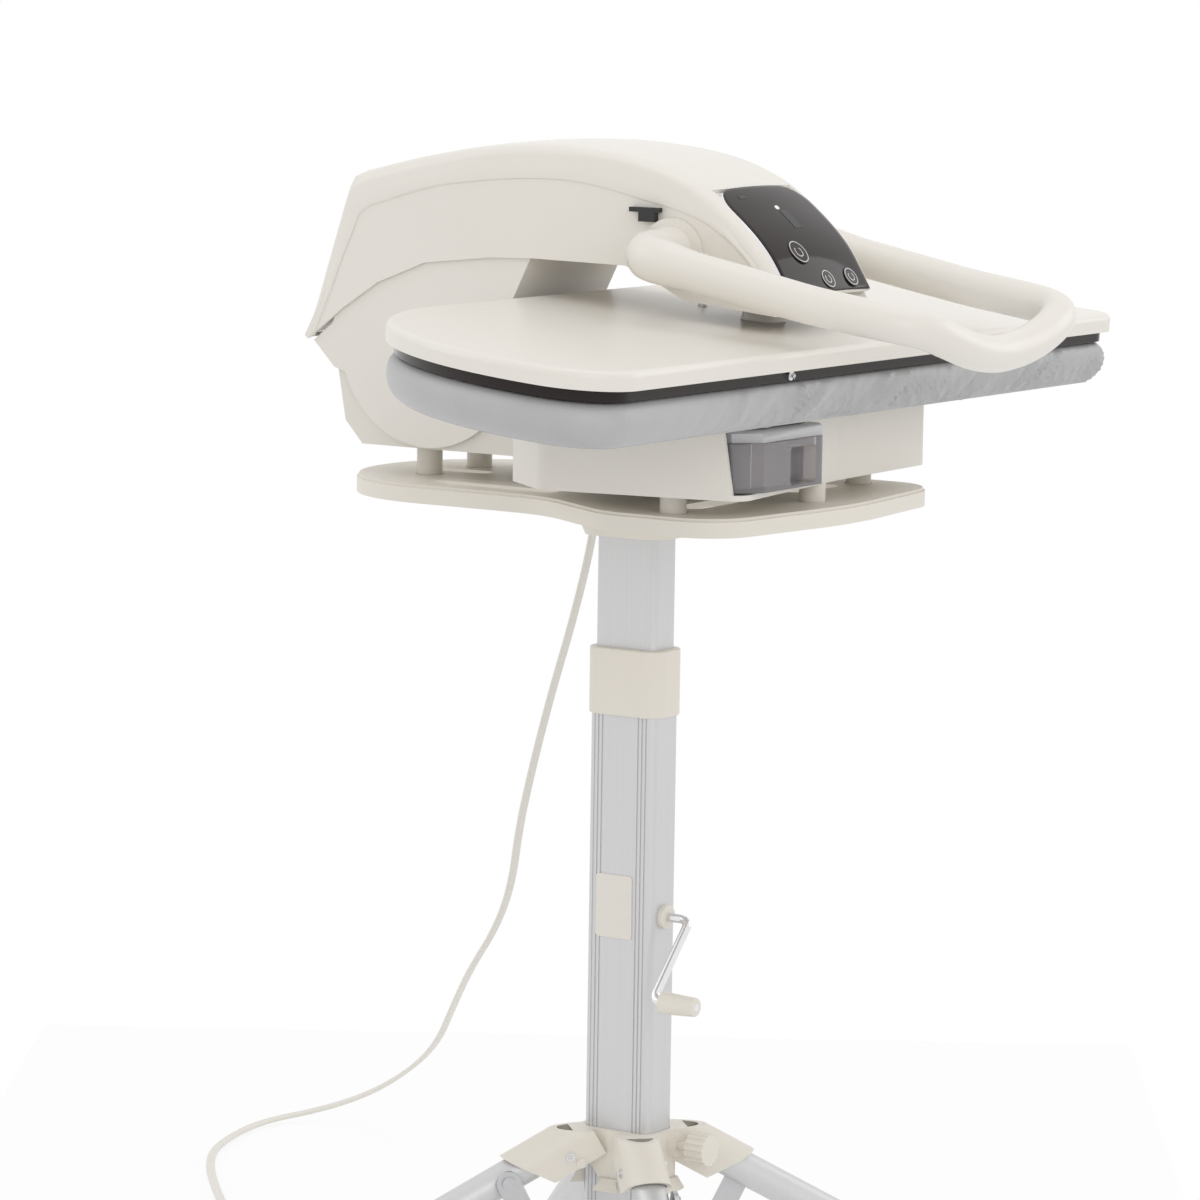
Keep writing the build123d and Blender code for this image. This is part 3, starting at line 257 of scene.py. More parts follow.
route = bpy.data.curves.new("cord_route", "CURVE")
route.dimensions = "3D"
spline = route.splines.new("NURBS")
route_points = [Vector(point) for point in CORD_ROUTE] + coil_route()
spline.points.add(len(route_points) - 1)
for spot, point in zip(spline.points, route_points):
    spot.co = (*point, 1)
spline.order_u = 3
spline.use_endpoint_u = True
spline.resolution_u = 5
guide = bpy.data.objects.new("cord_route", route)
bpy.context.collection.objects.link(guide)
bpy.context.view_layer.update()
traced = bpy.data.meshes.new_from_object(guide.evaluated_get(bpy.context.evaluated_depsgraph_get()))
cord_path = [vertex.co.copy() for vertex in traced.vertices]
bpy.data.objects.remove(guide)

SECTION_POINTS, WAIST, WAIST_SPREAD = 20, 0.66, 1.9


def twin_section(share):
    """Outline of two joined round cores, lying flat, the same all along the cord."""
    outline = []
    for i in range(SECTION_POINTS):
        turn = 2 * pi * i / SECTION_POINTS
        waist = WAIST + (1 - WAIST) * min(1, WAIST_SPREAD * abs(cos(turn)))
        outline.append((CORD_WIDE / 2 * cos(turn), CORD_HIGH / 2 * sin(turn) * waist))
    return outline


sheath = moulded("cord_sheath", (0.80, 0.775, 0.715), 0.5, 0.12)
mains_cord = skin("mains_cord", tube_rings(cord_path, twin_section), sheath)
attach(mains_cord, "stand")
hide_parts("cord_free", "cord_coil")
dress(sheath, "plug", "cord_gland")


# Mast and lift
# Two anodised alloy extrusions, one sliding in the other, with a moulded collar at the joint. A bare
# label plate is glued to the left face. The pinion and the rack inside are steel.

def drawn(name, colour, rough, stretch, metallic=1.0):
    """Drawn or brushed metal: streaks along its length in its colour, gloss and relief."""
    finish = Finish(name)
    streak = finish.cloud(finish.place(stretch), 1, 4)
    cloud = finish.cloud(finish.place(), 12)
    return finish.surface({
        "Base Color": finish.mix(streak, tint(colour, 0.93), tint(colour, 1.04)),
        "Metallic": metallic,
        "Roughness": rough + 0.14 * (streak - 0.5) + 0.06 * (cloud - 0.5),
        "Normal": finish.relief(streak, 0.12, 0.0002),
    })


anodised = drawn("anodised_alloy", (0.66, 0.66, 0.665), 0.42, (900, 900, 3), 0.6)
steel = drawn("brushed_steel", (0.56, 0.56, 0.57), 0.36, (500, 8, 500))
beige = moulded("beige_plastic", (0.80, 0.755, 0.675), 0.42, 0.08)
label = moulded("label_film", (0.79, 0.75, 0.69), 0.55, 0.12)
dress(anodised, "mast_lower", "mast_upper")
dress(steel, "crank_pinion", "lift_rack")
dress(beige, "mast_collar")
dress(label, "label_plate")


# Crank
# A bent wire in bright chrome turns in a moulded bush. Its grip spins on the end.
bright = drawn("bright_chrome", (0.80, 0.80, 0.81), 0.12, (300, 300, 300))
dress(bright, "crank_rod")
dress(beige, "crank_bush", "crank_grip")


# Legs
# Four round alloy tubes with rubber feet, hinged in the hooded hub, with flat steel braces.
rubber = moulded("foot_rubber", (0.62, 0.60, 0.56), 0.7, 0.25)
dress(beige, "leg_hub", "hub_knob", "foot_collar")
for corner in ("front_left", "front_right", "rear_left", "rear_right"):
    dress(anodised, "leg_" + corner)
    dress(rubber, "foot_cap_" + corner)
    dress(steel, "brace_" + corner)


# Tray
# A moulded tray on a socket that grips the mast.
dress(beige, "tray", "tray_socket")


# Base of the press
# A thin-walled casing on five round feet, with the pivot frame, springs, pump and power board inside.
base_cream = moulded("base_plastic", (0.80, 0.765, 0.70), 0.42, 0.08)
grey = moulded("grey_plastic", (0.30, 0.30, 0.31), 0.5, 0.1)
circuit = moulded("circuit_board", (0.04, 0.18, 0.08), 0.45, 0.1)
dress(base_cream, "base_casing", "base_pan", "base_feet")
dress(steel, "pivot_frame", "pivot_shaft", "lift_springs", "press_board")
dress(grey, "water_pump")
dress(circuit, "power_board")


# Water tank
# A drawer moulded in smoke-tinted clear plastic. Its colourless stippled lid is a flat block with soft
# upper edges, and slides out with it.

def clear(name, colour, rough, stipple, scale, through):
    """Clear plastic: some of its light goes through, and its face is stippled."""
    finish = Finish(name)
    pits = finish.cloud(finish.place(), scale, 2)
    haze = finish.cloud(finish.place(), 25)
    return finish.surface({
        "Base Color": finish.mix(haze, tint(colour, 0.96), tint(colour, 1.03)),
        "Roughness": rough + 0.05 * haze,
        "Transmission Weight": through,
        "IOR": 1.46,
        "Normal": finish.relief(pits, stipple, 0.0005),
    })


smoked = clear("smoked_clear", (0.62, 0.59, 0.60), 0.04, 0.02, 30, 0.72)
stippled = clear("stippled_clear", (0.93, 0.93, 0.94), 0.12, 0.7, 320, 0.35)
dress(smoked, "water_tank")

LID_LEFT, LID_RIGHT, LID_FRONT, LID_REAR, LID_CUT = -0.1215, -0.0365, -0.1615, -0.040, 0.014
LID_STEPS = [(0.0, 0.6613), (0.0, 0.6672), (0.0015, 0.6690), (0.0040, 0.6695)]


def lid_ring(inset, height):
    """Plan of the lid, with its front left corner cut off like the tank's."""
    left, right = LID_LEFT + inset, LID_RIGHT - inset
    front, rear = LID_FRONT + inset, LID_REAR - inset
    plan = [(left, rear), (left, front + LID_CUT), (left + LID_CUT, front), (right, front), (right, rear)]
    return [Vector((x, y, height)) for x, y in plan]


tank_cover = skin("tank_cover", [lid_ring(*step) for step in LID_STEPS], stippled)
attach(tank_cover, "tank")
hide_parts("tank_lid")


# Padded cover
# Silver-coated cotton over felt and foam, drawn under the board by a hem with elastic. It lies smooth
# round the nose and gathers into slanting folds from the front left corner to the square end.
TILT = radians(4.5)
PRESS_AT = Vector((0, -0.190, 0.701))
PRESS_UP = Vector((0, -sin(TILT), cos(TILT)))
PRESS_BACK = Vector((0, cos(TILT), sin(TILT)))
BOARD_LEFT, BOARD_RIGHT, BOARD_DEPTH = -0.335, 0.305, 0.240
NOSE, NOSE_FRONT, BOARD_CORNER = (0.165, 0.195), (0.040, 0.045), 0.022
EDGE_STEP = 0.0018


def on_press(x, y, height):
    """A point given along, back from the front edge of, and above the pressing plane."""
    return PRESS_AT + Vector((x, 0, 0)) + PRESS_BACK * y + PRESS_UP * height


def board_outline(step):
    """Even points round the board's edge, each with its outward direction and its length so far."""
    corner = BOARD_CORNER
    middle = NOSE_FRONT[1]
    arcs = [
        (BOARD_LEFT + NOSE[0], middle, *NOSE, 90), (BOARD_LEFT + NOSE_FRONT[0], middle, *NOSE_FRONT, 180),
        (BOARD_RIGHT - corner, corner, corner, corner, 270),
        (BOARD_RIGHT - corner, BOARD_DEPTH - corner, corner, corner, 0),
    ]
    rough = []
    for x, y, wide, deep, start in arcs:
        for k in range(91):
            turn = radians(start + k)
            rough.append(Vector((x + wide * cos(turn), y + deep * sin(turn))))
    rough.append(rough[0].copy())
    total = sum((b - a).length for a, b in zip(rough, rough[1:]))
    count = int(total / step)
    even, walked, k = [], 0, 0
    for i in range(count):
        goal = total * i / count
        while walked + (rough[k + 1] - rough[k]).length < goal:
            walked += (rough[k + 1] - rough[k]).length
            k += 1
        run = rough[k + 1] - rough[k]
        even.append(rough[k] + run * ((goal - walked) / max(run.length, 1e-9)))
    points = []
    for i, here in enumerate(even):
        run = even[(i + 1) % count] - even[i - 1]
        points.append((here, Vector((run.y, -run.x)).normalized(), total * i / count))
    return points


def ridges(position, width, seed):
    """Uneven soft ridges, 0 to 1, about width apart."""
    warped = position / width + 1.1 * noise.noise(Vector((position * 14, seed, 0)))
    strength = 0.55 + 0.9 * noise.noise(Vector((position * 22, seed, 7)))
    return (0.5 + 0.5 * sin(2 * pi * warped)) ** 2 * strength


FOLD_START, FOLD_FULL, FOLD_DEPTH = -0.26, -0.08, 2.1
FOLD_WIDE, CREASE_WIDE, PUCKER_WIDE = 0.034, 0.014, 0.0065
SAG_BELOW, SAG = -0.012, 0.35
EDGE = board_outline(EDGE_STEP)
SPINE_LEFT, SPINE_RIGHT, SPINE_BACK = -0.19, 0.20, 0.122
SPINE_INSET, UNEVEN = 0.016, 0.0003


def gathering(here):
    """How far the cloth is gathered: none round the nose, most towards the square end."""
    share = min(1, max(0, (here.x - FOLD_START) / (FOLD_FULL - FOLD_START)))
    return share * share * (3 - 2 * share)


def pad_ring(inset, height, fold, pucker, slant):
    """One ring of the cover: slant moves the folds along the edge from ring to ring."""
    ring = []
    for here, outward, along in EDGE:
        gather = gathering(here)
        shift = along + slant * (0.5 + 0.5 * gather)
        folds, creases = ridges(shift, FOLD_WIDE, 3), ridges(shift * 1.02, CREASE_WIDE, 9)
        wave = gather * (0.65 * folds + 0.35 * creases - 0.4)
        fine = (0.25 + 0.75 * gather) * (ridges(along + 0.3 * slant, PUCKER_WIDE, 21) - 0.4)
        push = FOLD_DEPTH * fold * wave + pucker * fine
        at = here - outward * (inset - push)
        sag = SAG * push if height < SAG_BELOW else 0
        ring.append(on_press(at.x, at.y, height - sag))
    return ring


def spine_ring(share, height):
    """Ring drawn in towards a line along the middle of the board, with the cloth's slight unevenness."""
    ring = []
    for here, outward, _ in EDGE:
        start = here - outward * SPINE_INSET
        middle = Vector((min(max(start.x, SPINE_LEFT), SPINE_RIGHT), SPINE_BACK))
        at = start.lerp(middle, share)
        uneven = UNEVEN * noise.noise(Vector((at.x * 30, at.y * 30, 5)))
        ring.append(on_press(at.x, at.y, height + uneven * min(1, 6 * share)))
    return ring


# Each ring: inset from the board's edge, height, depth of the folds and of the puckers, slant
PAD_ROLL = [
    (0.0105, -0.0008, 0.0000, 0.0000, 0.000), (0.0078, -0.0015, 0.0006, 0.0000, 0.002),
    (0.0054, -0.0030, 0.0014, 0.0001, 0.004), (0.0036, -0.0052, 0.0024, 0.0002, 0.007),
    (0.0026, -0.0080, 0.0034, 0.0003, 0.010), (0.0022, -0.0112, 0.0042, 0.0004, 0.014),
    (0.0023, -0.0145, 0.0046, 0.0006, 0.018), (0.0030, -0.0178, 0.0046, 0.0009, 0.022),
    (0.0042, -0.0208, 0.0042, 0.0013, 0.026), (0.0060, -0.0236, 0.0034, 0.0016, 0.029),
    (0.0086, -0.0262, 0.0026, 0.0018, 0.032), (0.0122, -0.0282, 0.0012, 0.0012, 0.035),
    (0.0180, -0.0292, 0.0006, 0.0010, 0.038), (0.0300, -0.0294, 0.0003, 0.0008, 0.041),
    (0.0440, -0.0294, 0.0000, 0.0016, 0.044), (0.0445, -0.0286, 0.0000, 0.0016, 0.044),
    (0.0300, -0.0284, 0.0000, 0.0000, 0.044), (0.0119, -0.0283, 0.0000, 0.0000, 0.044),
    (0.0117, -0.0240, 0.0000, 0.0000, 0.044), (0.0200, -0.0239, 0.0000, 0.0000, 0.044),
]

YARN_SCALE = 520


def woven(name, colour):
    """Plain weave of fine yarns, with a metal coat that makes it a little glossy."""
    finish = Finish(name)
    warp, weft = [
        finish.node(
            "ShaderNodeTexWave", {"bands_direction": way}, {"Vector": finish.place(), "Scale": YARN_SCALE}, 1
        )
        for way in ("X", "Y")
    ]
    slub = finish.cloud(finish.place((60, 600, 600)), 1, 3)
    cloud = finish.cloud(finish.place(), 40, 4)
    weave = warp * weft + 0.5 * slub
    return finish.surface({
        "Base Color": finish.mix(0.8 * cloud + 0.08 * weave, tint(colour, 0.88), tint(colour, 1.08)),
        "Metallic": 0.15,
        "Roughness": 0.48 + 0.2 * (cloud - 0.5),
        "Sheen Weight": 0.25,
        "Normal": finish.relief(weave, 0.15, 0.0002),
    })


silver_cloth = woven("silver_cotton", (0.475, 0.475, 0.48))
inner_rings = [spine_ring(share, -0.0007) for share in (0.94, 0.75, 0.55, 0.35, 0.18, 0.06, 0)]
pad_cover = skin("pad_cover", inner_rings + [pad_ring(*roll) for roll in PAD_ROLL], silver_cloth)
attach(pad_cover, "press")
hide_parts("pad")


# Arm
# Two cream mouldings screwed to a steel beam: a casing with flat cheeks, and a top cover that wraps
# over nose, back and rear with a soft shoulder, parted from the cheeks by a fine groove.
MM = 0.001
TOP_LINE = [
    (-145, 749), (-128, 775.5), (-105, 797.5), (-76, 817), (-34, 831), (27, 838), (80, 836), (133, 828),
    (189, 815),
]
REAR_LINE = [(193, 812.5), (196, 806), (205, 781), (218, 745), (232, 706)]
SEAM_LINE = [
    (-133, 745), (-118, 769), (-84, 793), (-34, 806), (10, 814), (51, 815), (97, 811), (132, 805), (180, 791),
]
SEAM_REAR = [(185, 786), (190, 774), (198, 757), (209, 731), (222, 703)]
ARM_HALF, SHOULDER, CROWN = 0.058, 0.010, 0.0030
GROOVE_LIP = [(-0.0016, -0.0006), (-0.0006, 0.0008), (0.0010, 0.0010)]
CHEEK_FOOT, CHEEK_BULGE = 0.0006, ((0.4, 0.0008), (0.85, 0))
SHOULDER_STEPS, SHOULDER_SET = 8, 0.0003
# Places across the top, close together at the two edges of the panel's bed
PANEL_BED = 0.0465
TOP_ACROSS = (-0.0467, -0.046, -0.035, -0.02, 0, 0.02, 0.035, 0.046, 0.0467)


def smooth_line(points, steps):
    """Smooth line through points, as vectors."""
    points = [Vector(point) for point in points]
    around = [points[0] * 2 - points[1]] + points + [points[-1] * 2 - points[-2]]
    line = []
    for k in range(len(points) - 1):
        a, b, c, d = around[k:k + 4]
        for i in range(steps):
            t = i / steps
            line.append((
                b * 2 + (c - a) * t + (a * 2 - b * 5 + c * 4 - d) * t**2 + (b * 3 - a - c * 3 + d) * t**3
            ) * 0.5)
    line.append(points[-1])
    return line


outer_line = smooth_line(TOP_LINE, 12)[:-1] + smooth_line(REAR_LINE, 6)
seam_line = smooth_line(SEAM_LINE, 12)[:-1] + smooth_line(SEAM_REAR, 6)
PANEL_DROP = 0.0030
PANEL_ROWS = (1, 32)
HOOD_WALL, PANEL_WALL = 0.0024, 0.0026


def shoulder_section(reach):
    """Half of the cover's section: how far out from the seam and how far from the middle."""
    bend = min(SHOULDER, 0.75 * reach)
    side = [(out, ARM_HALF + more) for out, more in GROOVE_LIP]
    side += [(share * (reach - bend) + CHEEK_FOOT, ARM_HALF + bulge) for share, bulge in CHEEK_BULGE]
    for k in range(SHOULDER_STEPS + 1):
        turn = radians(90 * k / SHOULDER_STEPS)
        side.append((reach - bend + bend * sin(turn), ARM_HALF - SHOULDER_SET - bend * (1 - cos(turn))))
    return side


def arm_rings():
    """Sections of the cover from the nose to the rear edge, sunk a little under the control panel."""
    rings = []
    for k, (outer, seam) in enumerate(zip(outer_line, seam_line)):
        outer, seam = Vector(outer) * MM, Vector(seam) * MM
        away = outer - seam
        reach = away.length
        away.normalize()
        sunk = PANEL_DROP if PANEL_ROWS[0] <= k <= PANEL_ROWS[1] else 0
        half = shoulder_section(reach)
        flat = [(x, reach) for x in TOP_ACROSS]
        section = [(-x, out) for out, x in half] + flat + [(x, out) for out, x in reversed(half)]
        ring = []
        for x, out in section:
            fall = CROWN * (x / ARM_HALF) ** 2 * min(1, max(0, out / reach))
            if abs(x) < PANEL_BED:
                fall += sunk
            at = seam + away * (out - fall)
            ring.append(Vector((x, at.x, at.y)))
        rings.append(ring)
    return rings


cream = moulded("cream_plastic", (0.82, 0.785, 0.725), 0.34, 0.05, 0.15)
arm_hood = skin("arm_hood", arm_rings(), cream, closed=False, caps=False, sharp=50)
wall = arm_hood.modifiers.new("wall", "SOLIDIFY")
wall.thickness = HOOD_WALL
wall.offset = -1
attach(arm_hood, "arm")
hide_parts("arm_top_cover")
dress(cream, "arm_casing", "arm_neck", "handle_bosses")
dress(steel, "arm_beam")
dress(circuit, "control_board")


# Control panel
# A crowned dark glossy moulding let into the nose, with rounded upper corners and a pale strip on each side,
# a painted highlight for the light on its bevelled edges.
# It carries three push buttons with printed rings, a small window with its lamp, and a slot drawn as a raised
# black bar, painted shade for the dark opening.
PANEL_HALF, PANEL_CORNER, PANEL_PROUD, PANEL_COLUMNS = 0.0490, 0.020, 0.0010, 24
PANEL_POINTS = 34
panel_line = [Vector(point) * MM for point in outer_line[:PANEL_POINTS]]


def on_panel(x, row, lift):
    """A point on the nose, given across, by its row, and above the crowned surface."""
    before, after = panel_line[max(row - 1, 0)], panel_line[min(row + 1, len(panel_line) - 1)]
    along = (after - before).normalized()
    at = panel_line[row] + Vector((-along.y, along.x)) * (lift - CROWN * (x / ARM_HALF) ** 2)
    return Vector((x, at.x, at.y))


def panel_half(row):
    """Half width of the panel: less near its top, where the corners are round."""
    left = (panel_line[-1] - panel_line[row]).length
    if left >= PANEL_CORNER:
        return PANEL_HALF
    return PANEL_HALF - PANEL_CORNER + (PANEL_CORNER**2 - (PANEL_CORNER - left) ** 2) ** 0.5


dark_gloss = moulded("dark_gloss", (0.019, 0.012, 0.011), 0.08, 0.01, 0.0, 0.24)
panel_rows = []
for row in range(len(panel_line)):
    half = panel_half(row)
    columns = [half * (2 * k / PANEL_COLUMNS - 1) for k in range(PANEL_COLUMNS + 1)]
    panel_rows.append([on_panel(x, row, PANEL_PROUD) for x in columns])
panel_face = skin("panel_face", panel_rows, dark_gloss, closed=False, caps=False)
panel_wall = panel_face.modifiers.new("wall", "SOLIDIFY")
panel_wall.thickness = PANEL_WALL
panel_wall.offset = -1
panel_edge = panel_face.modifiers.new("edge", "BEVEL")
panel_edge.width = 0.0007
panel_edge.segments = 2
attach(panel_face, "arm")
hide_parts("control_panel")
dress(dark_gloss, "power_button", "mode_button", "steam_button")

# Section of the pale strip, a painted highlight on the panel's bevel: out from the panel's edge, and above
# the nose
HIGHLIGHT_SECTION = ((-0.0008, 0.0008), (0.0012, 0.0001), (0.0032, -0.0022), (-0.0008, -0.0022))
# Pale silvery strips on the panel's side edges: painted highlight where light catches the bevel of the glossy
# panel
bevel_highlight_paint = drawn("bevel_highlight_paint", (0.80, 0.80, 0.82), 0.25, (40, 300, 300), 0.3)
for side, highlight_name in ((-1, "panel_highlight_left"), (1, "panel_highlight_right")):
    highlight_rings = []
    for row in range(len(panel_line) - 1):
        half = panel_half(row)
        highlight_rings.append([on_panel(side * (half + x), row, lift) for x, lift in HIGHLIGHT_SECTION])
    highlight_strip = skin(highlight_name, highlight_rings, bevel_highlight_paint, sharp=25)
    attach(highlight_strip, "arm")

# Middle of each button's face, its slope in degrees, and its radius
BUTTONS = {
    "power_button": ((-0.018, -0.1296, 0.7735), 50, 0.0089),
    "mode_button": ((0, -0.1411, 0.7562), 56, 0.0069),
    "steam_button": ((0.028, -0.1411, 0.7562), 56, 0.0069),
}
BUTTON_PROUD, RING_WIDE, PRINT_HIGH, RING_STEPS = 0.001, 0.0007, 0.00012, 40
RING_INSET, MARK_SHARE, MARK_START, MARK_SWEEP = 0.0006, 0.36, radians(35), radians(290)
printed = moulded("printed_pale", (0.62, 0.62, 0.62), 0.5, 0.05)
for name, (middle, slope, radius) in BUTTONS.items():
    face_up = Vector((0, -sin(radians(slope)), cos(radians(slope))))
    face_back = Vector((0, cos(radians(slope)), sin(radians(slope))))
    centre = Vector(middle) + face_up * BUTTON_PROUD
    ring_rows = []
    for k in range(RING_STEPS + 1):
        turn = 2 * pi * k / RING_STEPS
        spoke = Vector((cos(turn), 0, 0)) + face_back * sin(turn)
        outer = centre + spoke * (radius - RING_INSET)
        inner = centre + spoke * (radius - RING_INSET - RING_WIDE)
        lift = face_up * PRINT_HIGH
        ring_rows.append([inner - lift, outer - lift, outer + lift, inner + lift])
    ring = skin(name + "_ring", ring_rows, printed, caps=False, sharp=30)
    mark_rows = []
    for k in range(RING_STEPS + 1):
        turn = MARK_START + MARK_SWEEP * k / RING_STEPS
        spoke = Vector((sin(turn), 0, 0)) + face_back * cos(turn)
        inner = centre + spoke * radius * MARK_SHARE
        outer = centre + spoke * (radius * MARK_SHARE + RING_WIDE)
        mark_rows.append([inner - lift, outer - lift, outer + lift, inner + lift])
    mark = skin(name + "_mark", mark_rows, printed, sharp=30)
    for piece in (ring, mark):
        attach(piece, name)

DOME_PROFILE, DOME_SIDES = ((1, -0.5), (1, 0), (0.97, 0.35), (0.8, 0.7), (0.5, 0.92), (0.15, 1)), 24
BAR_DEEP, PRINT_LIFT = 0.0008, 0.0002


def dome(name, centre, up, radius, height, material):
    """Low dome on a short cylinder."""
    side = up.orthogonal().normalized()
    other = up.cross(side)
    rings = []
    for share, rise in DOME_PROFILE:
        ring = []
        for k in range(DOME_SIDES):
            turn = 2 * pi * k / DOME_SIDES
            ring.append(centre + (side * cos(turn) + other * sin(turn)) * radius * share + up * height * rise)
        rings.append(ring)
    return skin(name, rings, material)


def bar(name, x, row, wide, rows, lift, material):
    """Flat bar that follows the panel's face."""
    left, right, under = x - wide / 2, x + wide / 2, lift - BAR_DEEP
    corners = ((left, under), (right, under), (right, lift), (left, lift))
    bar_rings = [[on_panel(out, k, high) for out, high in corners] for k in range(row, row + rows + 1)]
    return skin(name, bar_rings, material, sharp=30)


nose_up = Vector((0, -0.62, 0.78))
black = moulded("black_plastic_and_slot_shade", (0.018, 0.018, 0.02), 0.35, 0.1)
lamp_window = bar("lamp_window", 0.002, 18, 0.0085, 6, PANEL_PROUD + PRINT_LIFT, black)
# The slot is a raised black bar, painted shade for the dark opening; the panel itself is not cut
slot_shade_bar = bar("slot_shade_bar", -0.027, 29, 0.0075, 1, PANEL_PROUD + PRINT_LIFT, black)
lamp_pin = dome("lamp_pin", on_panel(-0.002, 25, PANEL_PROUD), nose_up, 0.0019, 0.0012, bright)
for piece in (lamp_window, slot_shade_bar, lamp_pin):
    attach(piece, "arm")


# Heated plate
# Alloy sole with steam holes, a dark glossy heat guard round it, and the cream cover on top. A short
# post carries it under the arm, and small pan-head screws hold the guard.
dress(anodised, "heated_plate")
dress(dark_gloss, "heat_guard")
dress(cream, "plate_cover")

# Half width of the post at each height above the pressing plane
POST_HALF = 0.0122
POST_SECTIONS = [(0.0130, 0.0192), (POST_HALF, 0.0215), (POST_HALF, 0.0600)]
POST_BACK, POST_HALF_DEPTH, POST_SIDES = 0.098, 0.012, 32


def post_ring(wide, height):
    """Rounded square round the post."""
    ring = []
    for k in range(POST_SIDES):
        turn = 2 * pi * k / POST_SIDES
        reach = wide / (abs(cos(turn)) ** 4 + abs(sin(turn)) ** 4) ** 0.25
        deep = reach * (wide + POST_HALF_DEPTH - POST_HALF) / wide
        ring.append(on_press(reach * cos(turn), POST_BACK + deep * sin(turn), height))
    return ring


plate_post = skin("plate_post", [post_ring(*section) for section in POST_SECTIONS], cream)
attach(plate_post, "arm")
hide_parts("plate_bracket")


def screw_tree(material):
    """Pan heads with a cross recess, one at each vertex, facing along the vertex's own vector."""
    tree = bpy.data.node_groups.new("screw_heads", "GeometryNodeTree")
    tree.is_modifier = True
    tree.interface.new_socket("Spots", in_out="INPUT", socket_type="NodeSocketGeometry")
    for label_text in ("Head Radius", "Head Height", "Recess Width"):
        tree.interface.new_socket(label_text, in_out="INPUT", socket_type="NodeSocketFloat")
    tree.interface.new_socket("Heads", in_out="OUTPUT", socket_type="NodeSocketGeometry")

    def add(kind, **inputs):
        made = tree.nodes.new(kind)
        for key, value in inputs.items():
            port = made.inputs[key.replace("_", " ")]
            if isinstance(value, bpy.types.NodeSocket):
                tree.links.new(value, port)
            else:
                port.default_value = value
        return made

    given = tree.nodes.new("NodeGroupInput")
    head = add("GeometryNodeMeshCylinder", Vertices=28, Radius=given.outputs["Head Radius"],
               Depth=given.outputs["Head Height"])
    long_side = tree.nodes.new("ShaderNodeCombineXYZ")
    short_side = tree.nodes.new("ShaderNodeCombineXYZ")
    for combine, first, second in ((long_side, 0, 1), (short_side, 1, 0)):
        tree.links.new(given.outputs["Head Radius"], combine.inputs[first])
        tree.links.new(given.outputs["Recess Width"], combine.inputs[second])
        tree.links.new(given.outputs["Head Height"], combine.inputs[2])
    raise_by = tree.nodes.new("ShaderNodeCombineXYZ")
    tree.links.new(given.outputs["Head Height"], raise_by.inputs[2])
    bars = tree.nodes.new("GeometryNodeJoinGeometry")
    for combine in (long_side, short_side):
        cube = add("GeometryNodeMeshCube", Size=combine.outputs[0])
        tree.links.new(cube.outputs["Mesh"], bars.inputs[0])
    lifted = add("GeometryNodeTransform", Geometry=bars.outputs[0], Translation=raise_by.outputs[0])
    cut = tree.nodes.new("GeometryNodeMeshBoolean")
    cut.operation = "DIFFERENCE"
    tree.links.new(head.outputs["Mesh"], cut.inputs["Mesh 1"])
    tree.links.new(lifted.outputs["Geometry"], cut.inputs["Mesh 2"])
    facing = tree.nodes.new("GeometryNodeInputNamedAttribute")
    facing.data_type = "FLOAT_VECTOR"
    facing.inputs["Name"].default_value = "facing"
    turn = tree.nodes.new("FunctionNodeAlignRotationToVector")
    turn.axis = "Z"
    tree.links.new(facing.outputs["Attribute"], turn.inputs["Vector"])
    placed = add("GeometryNodeInstanceOnPoints", Points=given.outputs["Spots"], Instance=cut.outputs["Mesh"],
                 Rotation=turn.outputs["Rotation"])
    real = add("GeometryNodeRealizeInstances", Geometry=placed.outputs["Instances"])
    finished = add("GeometryNodeSetMaterial", Geometry=real.outputs["Geometry"], Material=material)
    result = tree.nodes.new("NodeGroupOutput")
    tree.links.new(finished.outputs["Geometry"], result.inputs["Heads"])
    return tree


bright_screw = drawn("bright_screw", (0.72, 0.72, 0.72), 0.22, (300, 300, 300))
heads = screw_tree(bright_screw)
SCREW_SIZES = {"Head Radius": 0.0031, "Head Height": 0.0022, "Recess Width": 0.0010}


def screws(name, body, spots):
    """Screw heads at the places and facings given, as one plain mesh on a body."""
    mesh = bpy.data.meshes.new(name + "_spots")
    mesh.from_pydata([place for place, _ in spots], [], [])
    store = mesh.attributes.new("facing", "FLOAT_VECTOR", "POINT")
    for k, (_, normal) in enumerate(spots):
        store.data[k].vector = normal
    seed = bpy.data.objects.new(name + "_spots", mesh)
    bpy.context.collection.objects.link(seed)
    modifier = seed.modifiers.new("heads", "NODES")
    modifier.node_group = heads
    for item in heads.interface.items_tree:
        if item.in_out == "INPUT" and item.name in SCREW_SIZES:
            modifier[item.identifier] = SCREW_SIZES[item.name]
    bpy.context.view_layer.update()
    plain = bpy.data.meshes.new_from_object(seed.evaluated_get(bpy.context.evaluated_depsgraph_get()))
    bpy.data.objects.remove(seed)
    piece = bpy.data.objects.new(name, plain)
    bpy.context.collection.objects.link(piece)
    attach(piece, body)


GUARD_HIGH, GUARD_FRONT, GUARD_REAR, GUARD_SCREW_X = 0.0040, 0.0056, 0.2344, (-0.115, 0.145)
NOSE_SCREW, NOSE_FACING = (-0.3225, 0.066, GUARD_HIGH), Vector((-0.98, -0.2, 0))
COVER_SCREW = (0.022, 0.158, 0.0196)
guard_spots = [(on_press(x, GUARD_FRONT, GUARD_HIGH), -PRESS_BACK) for x in GUARD_SCREW_X]
guard_spots += [(on_press(x, GUARD_REAR, GUARD_HIGH), PRESS_BACK) for x in GUARD_SCREW_X]
guard_spots += [(on_press(*NOSE_SCREW), NOSE_FACING), (on_press(*COVER_SCREW), PRESS_UP)]
screws("guard_screws", "arm", guard_spots)


# Hub screws
# Two of the same bright screws go into each hood of the hub, one from either side of its leg.
LEG_PIVOT_R, LEG_PIVOT_Z, LEG_FALL, HOOD_SIDE = 0.046, 0.1744, radians(29.1), 0.0146
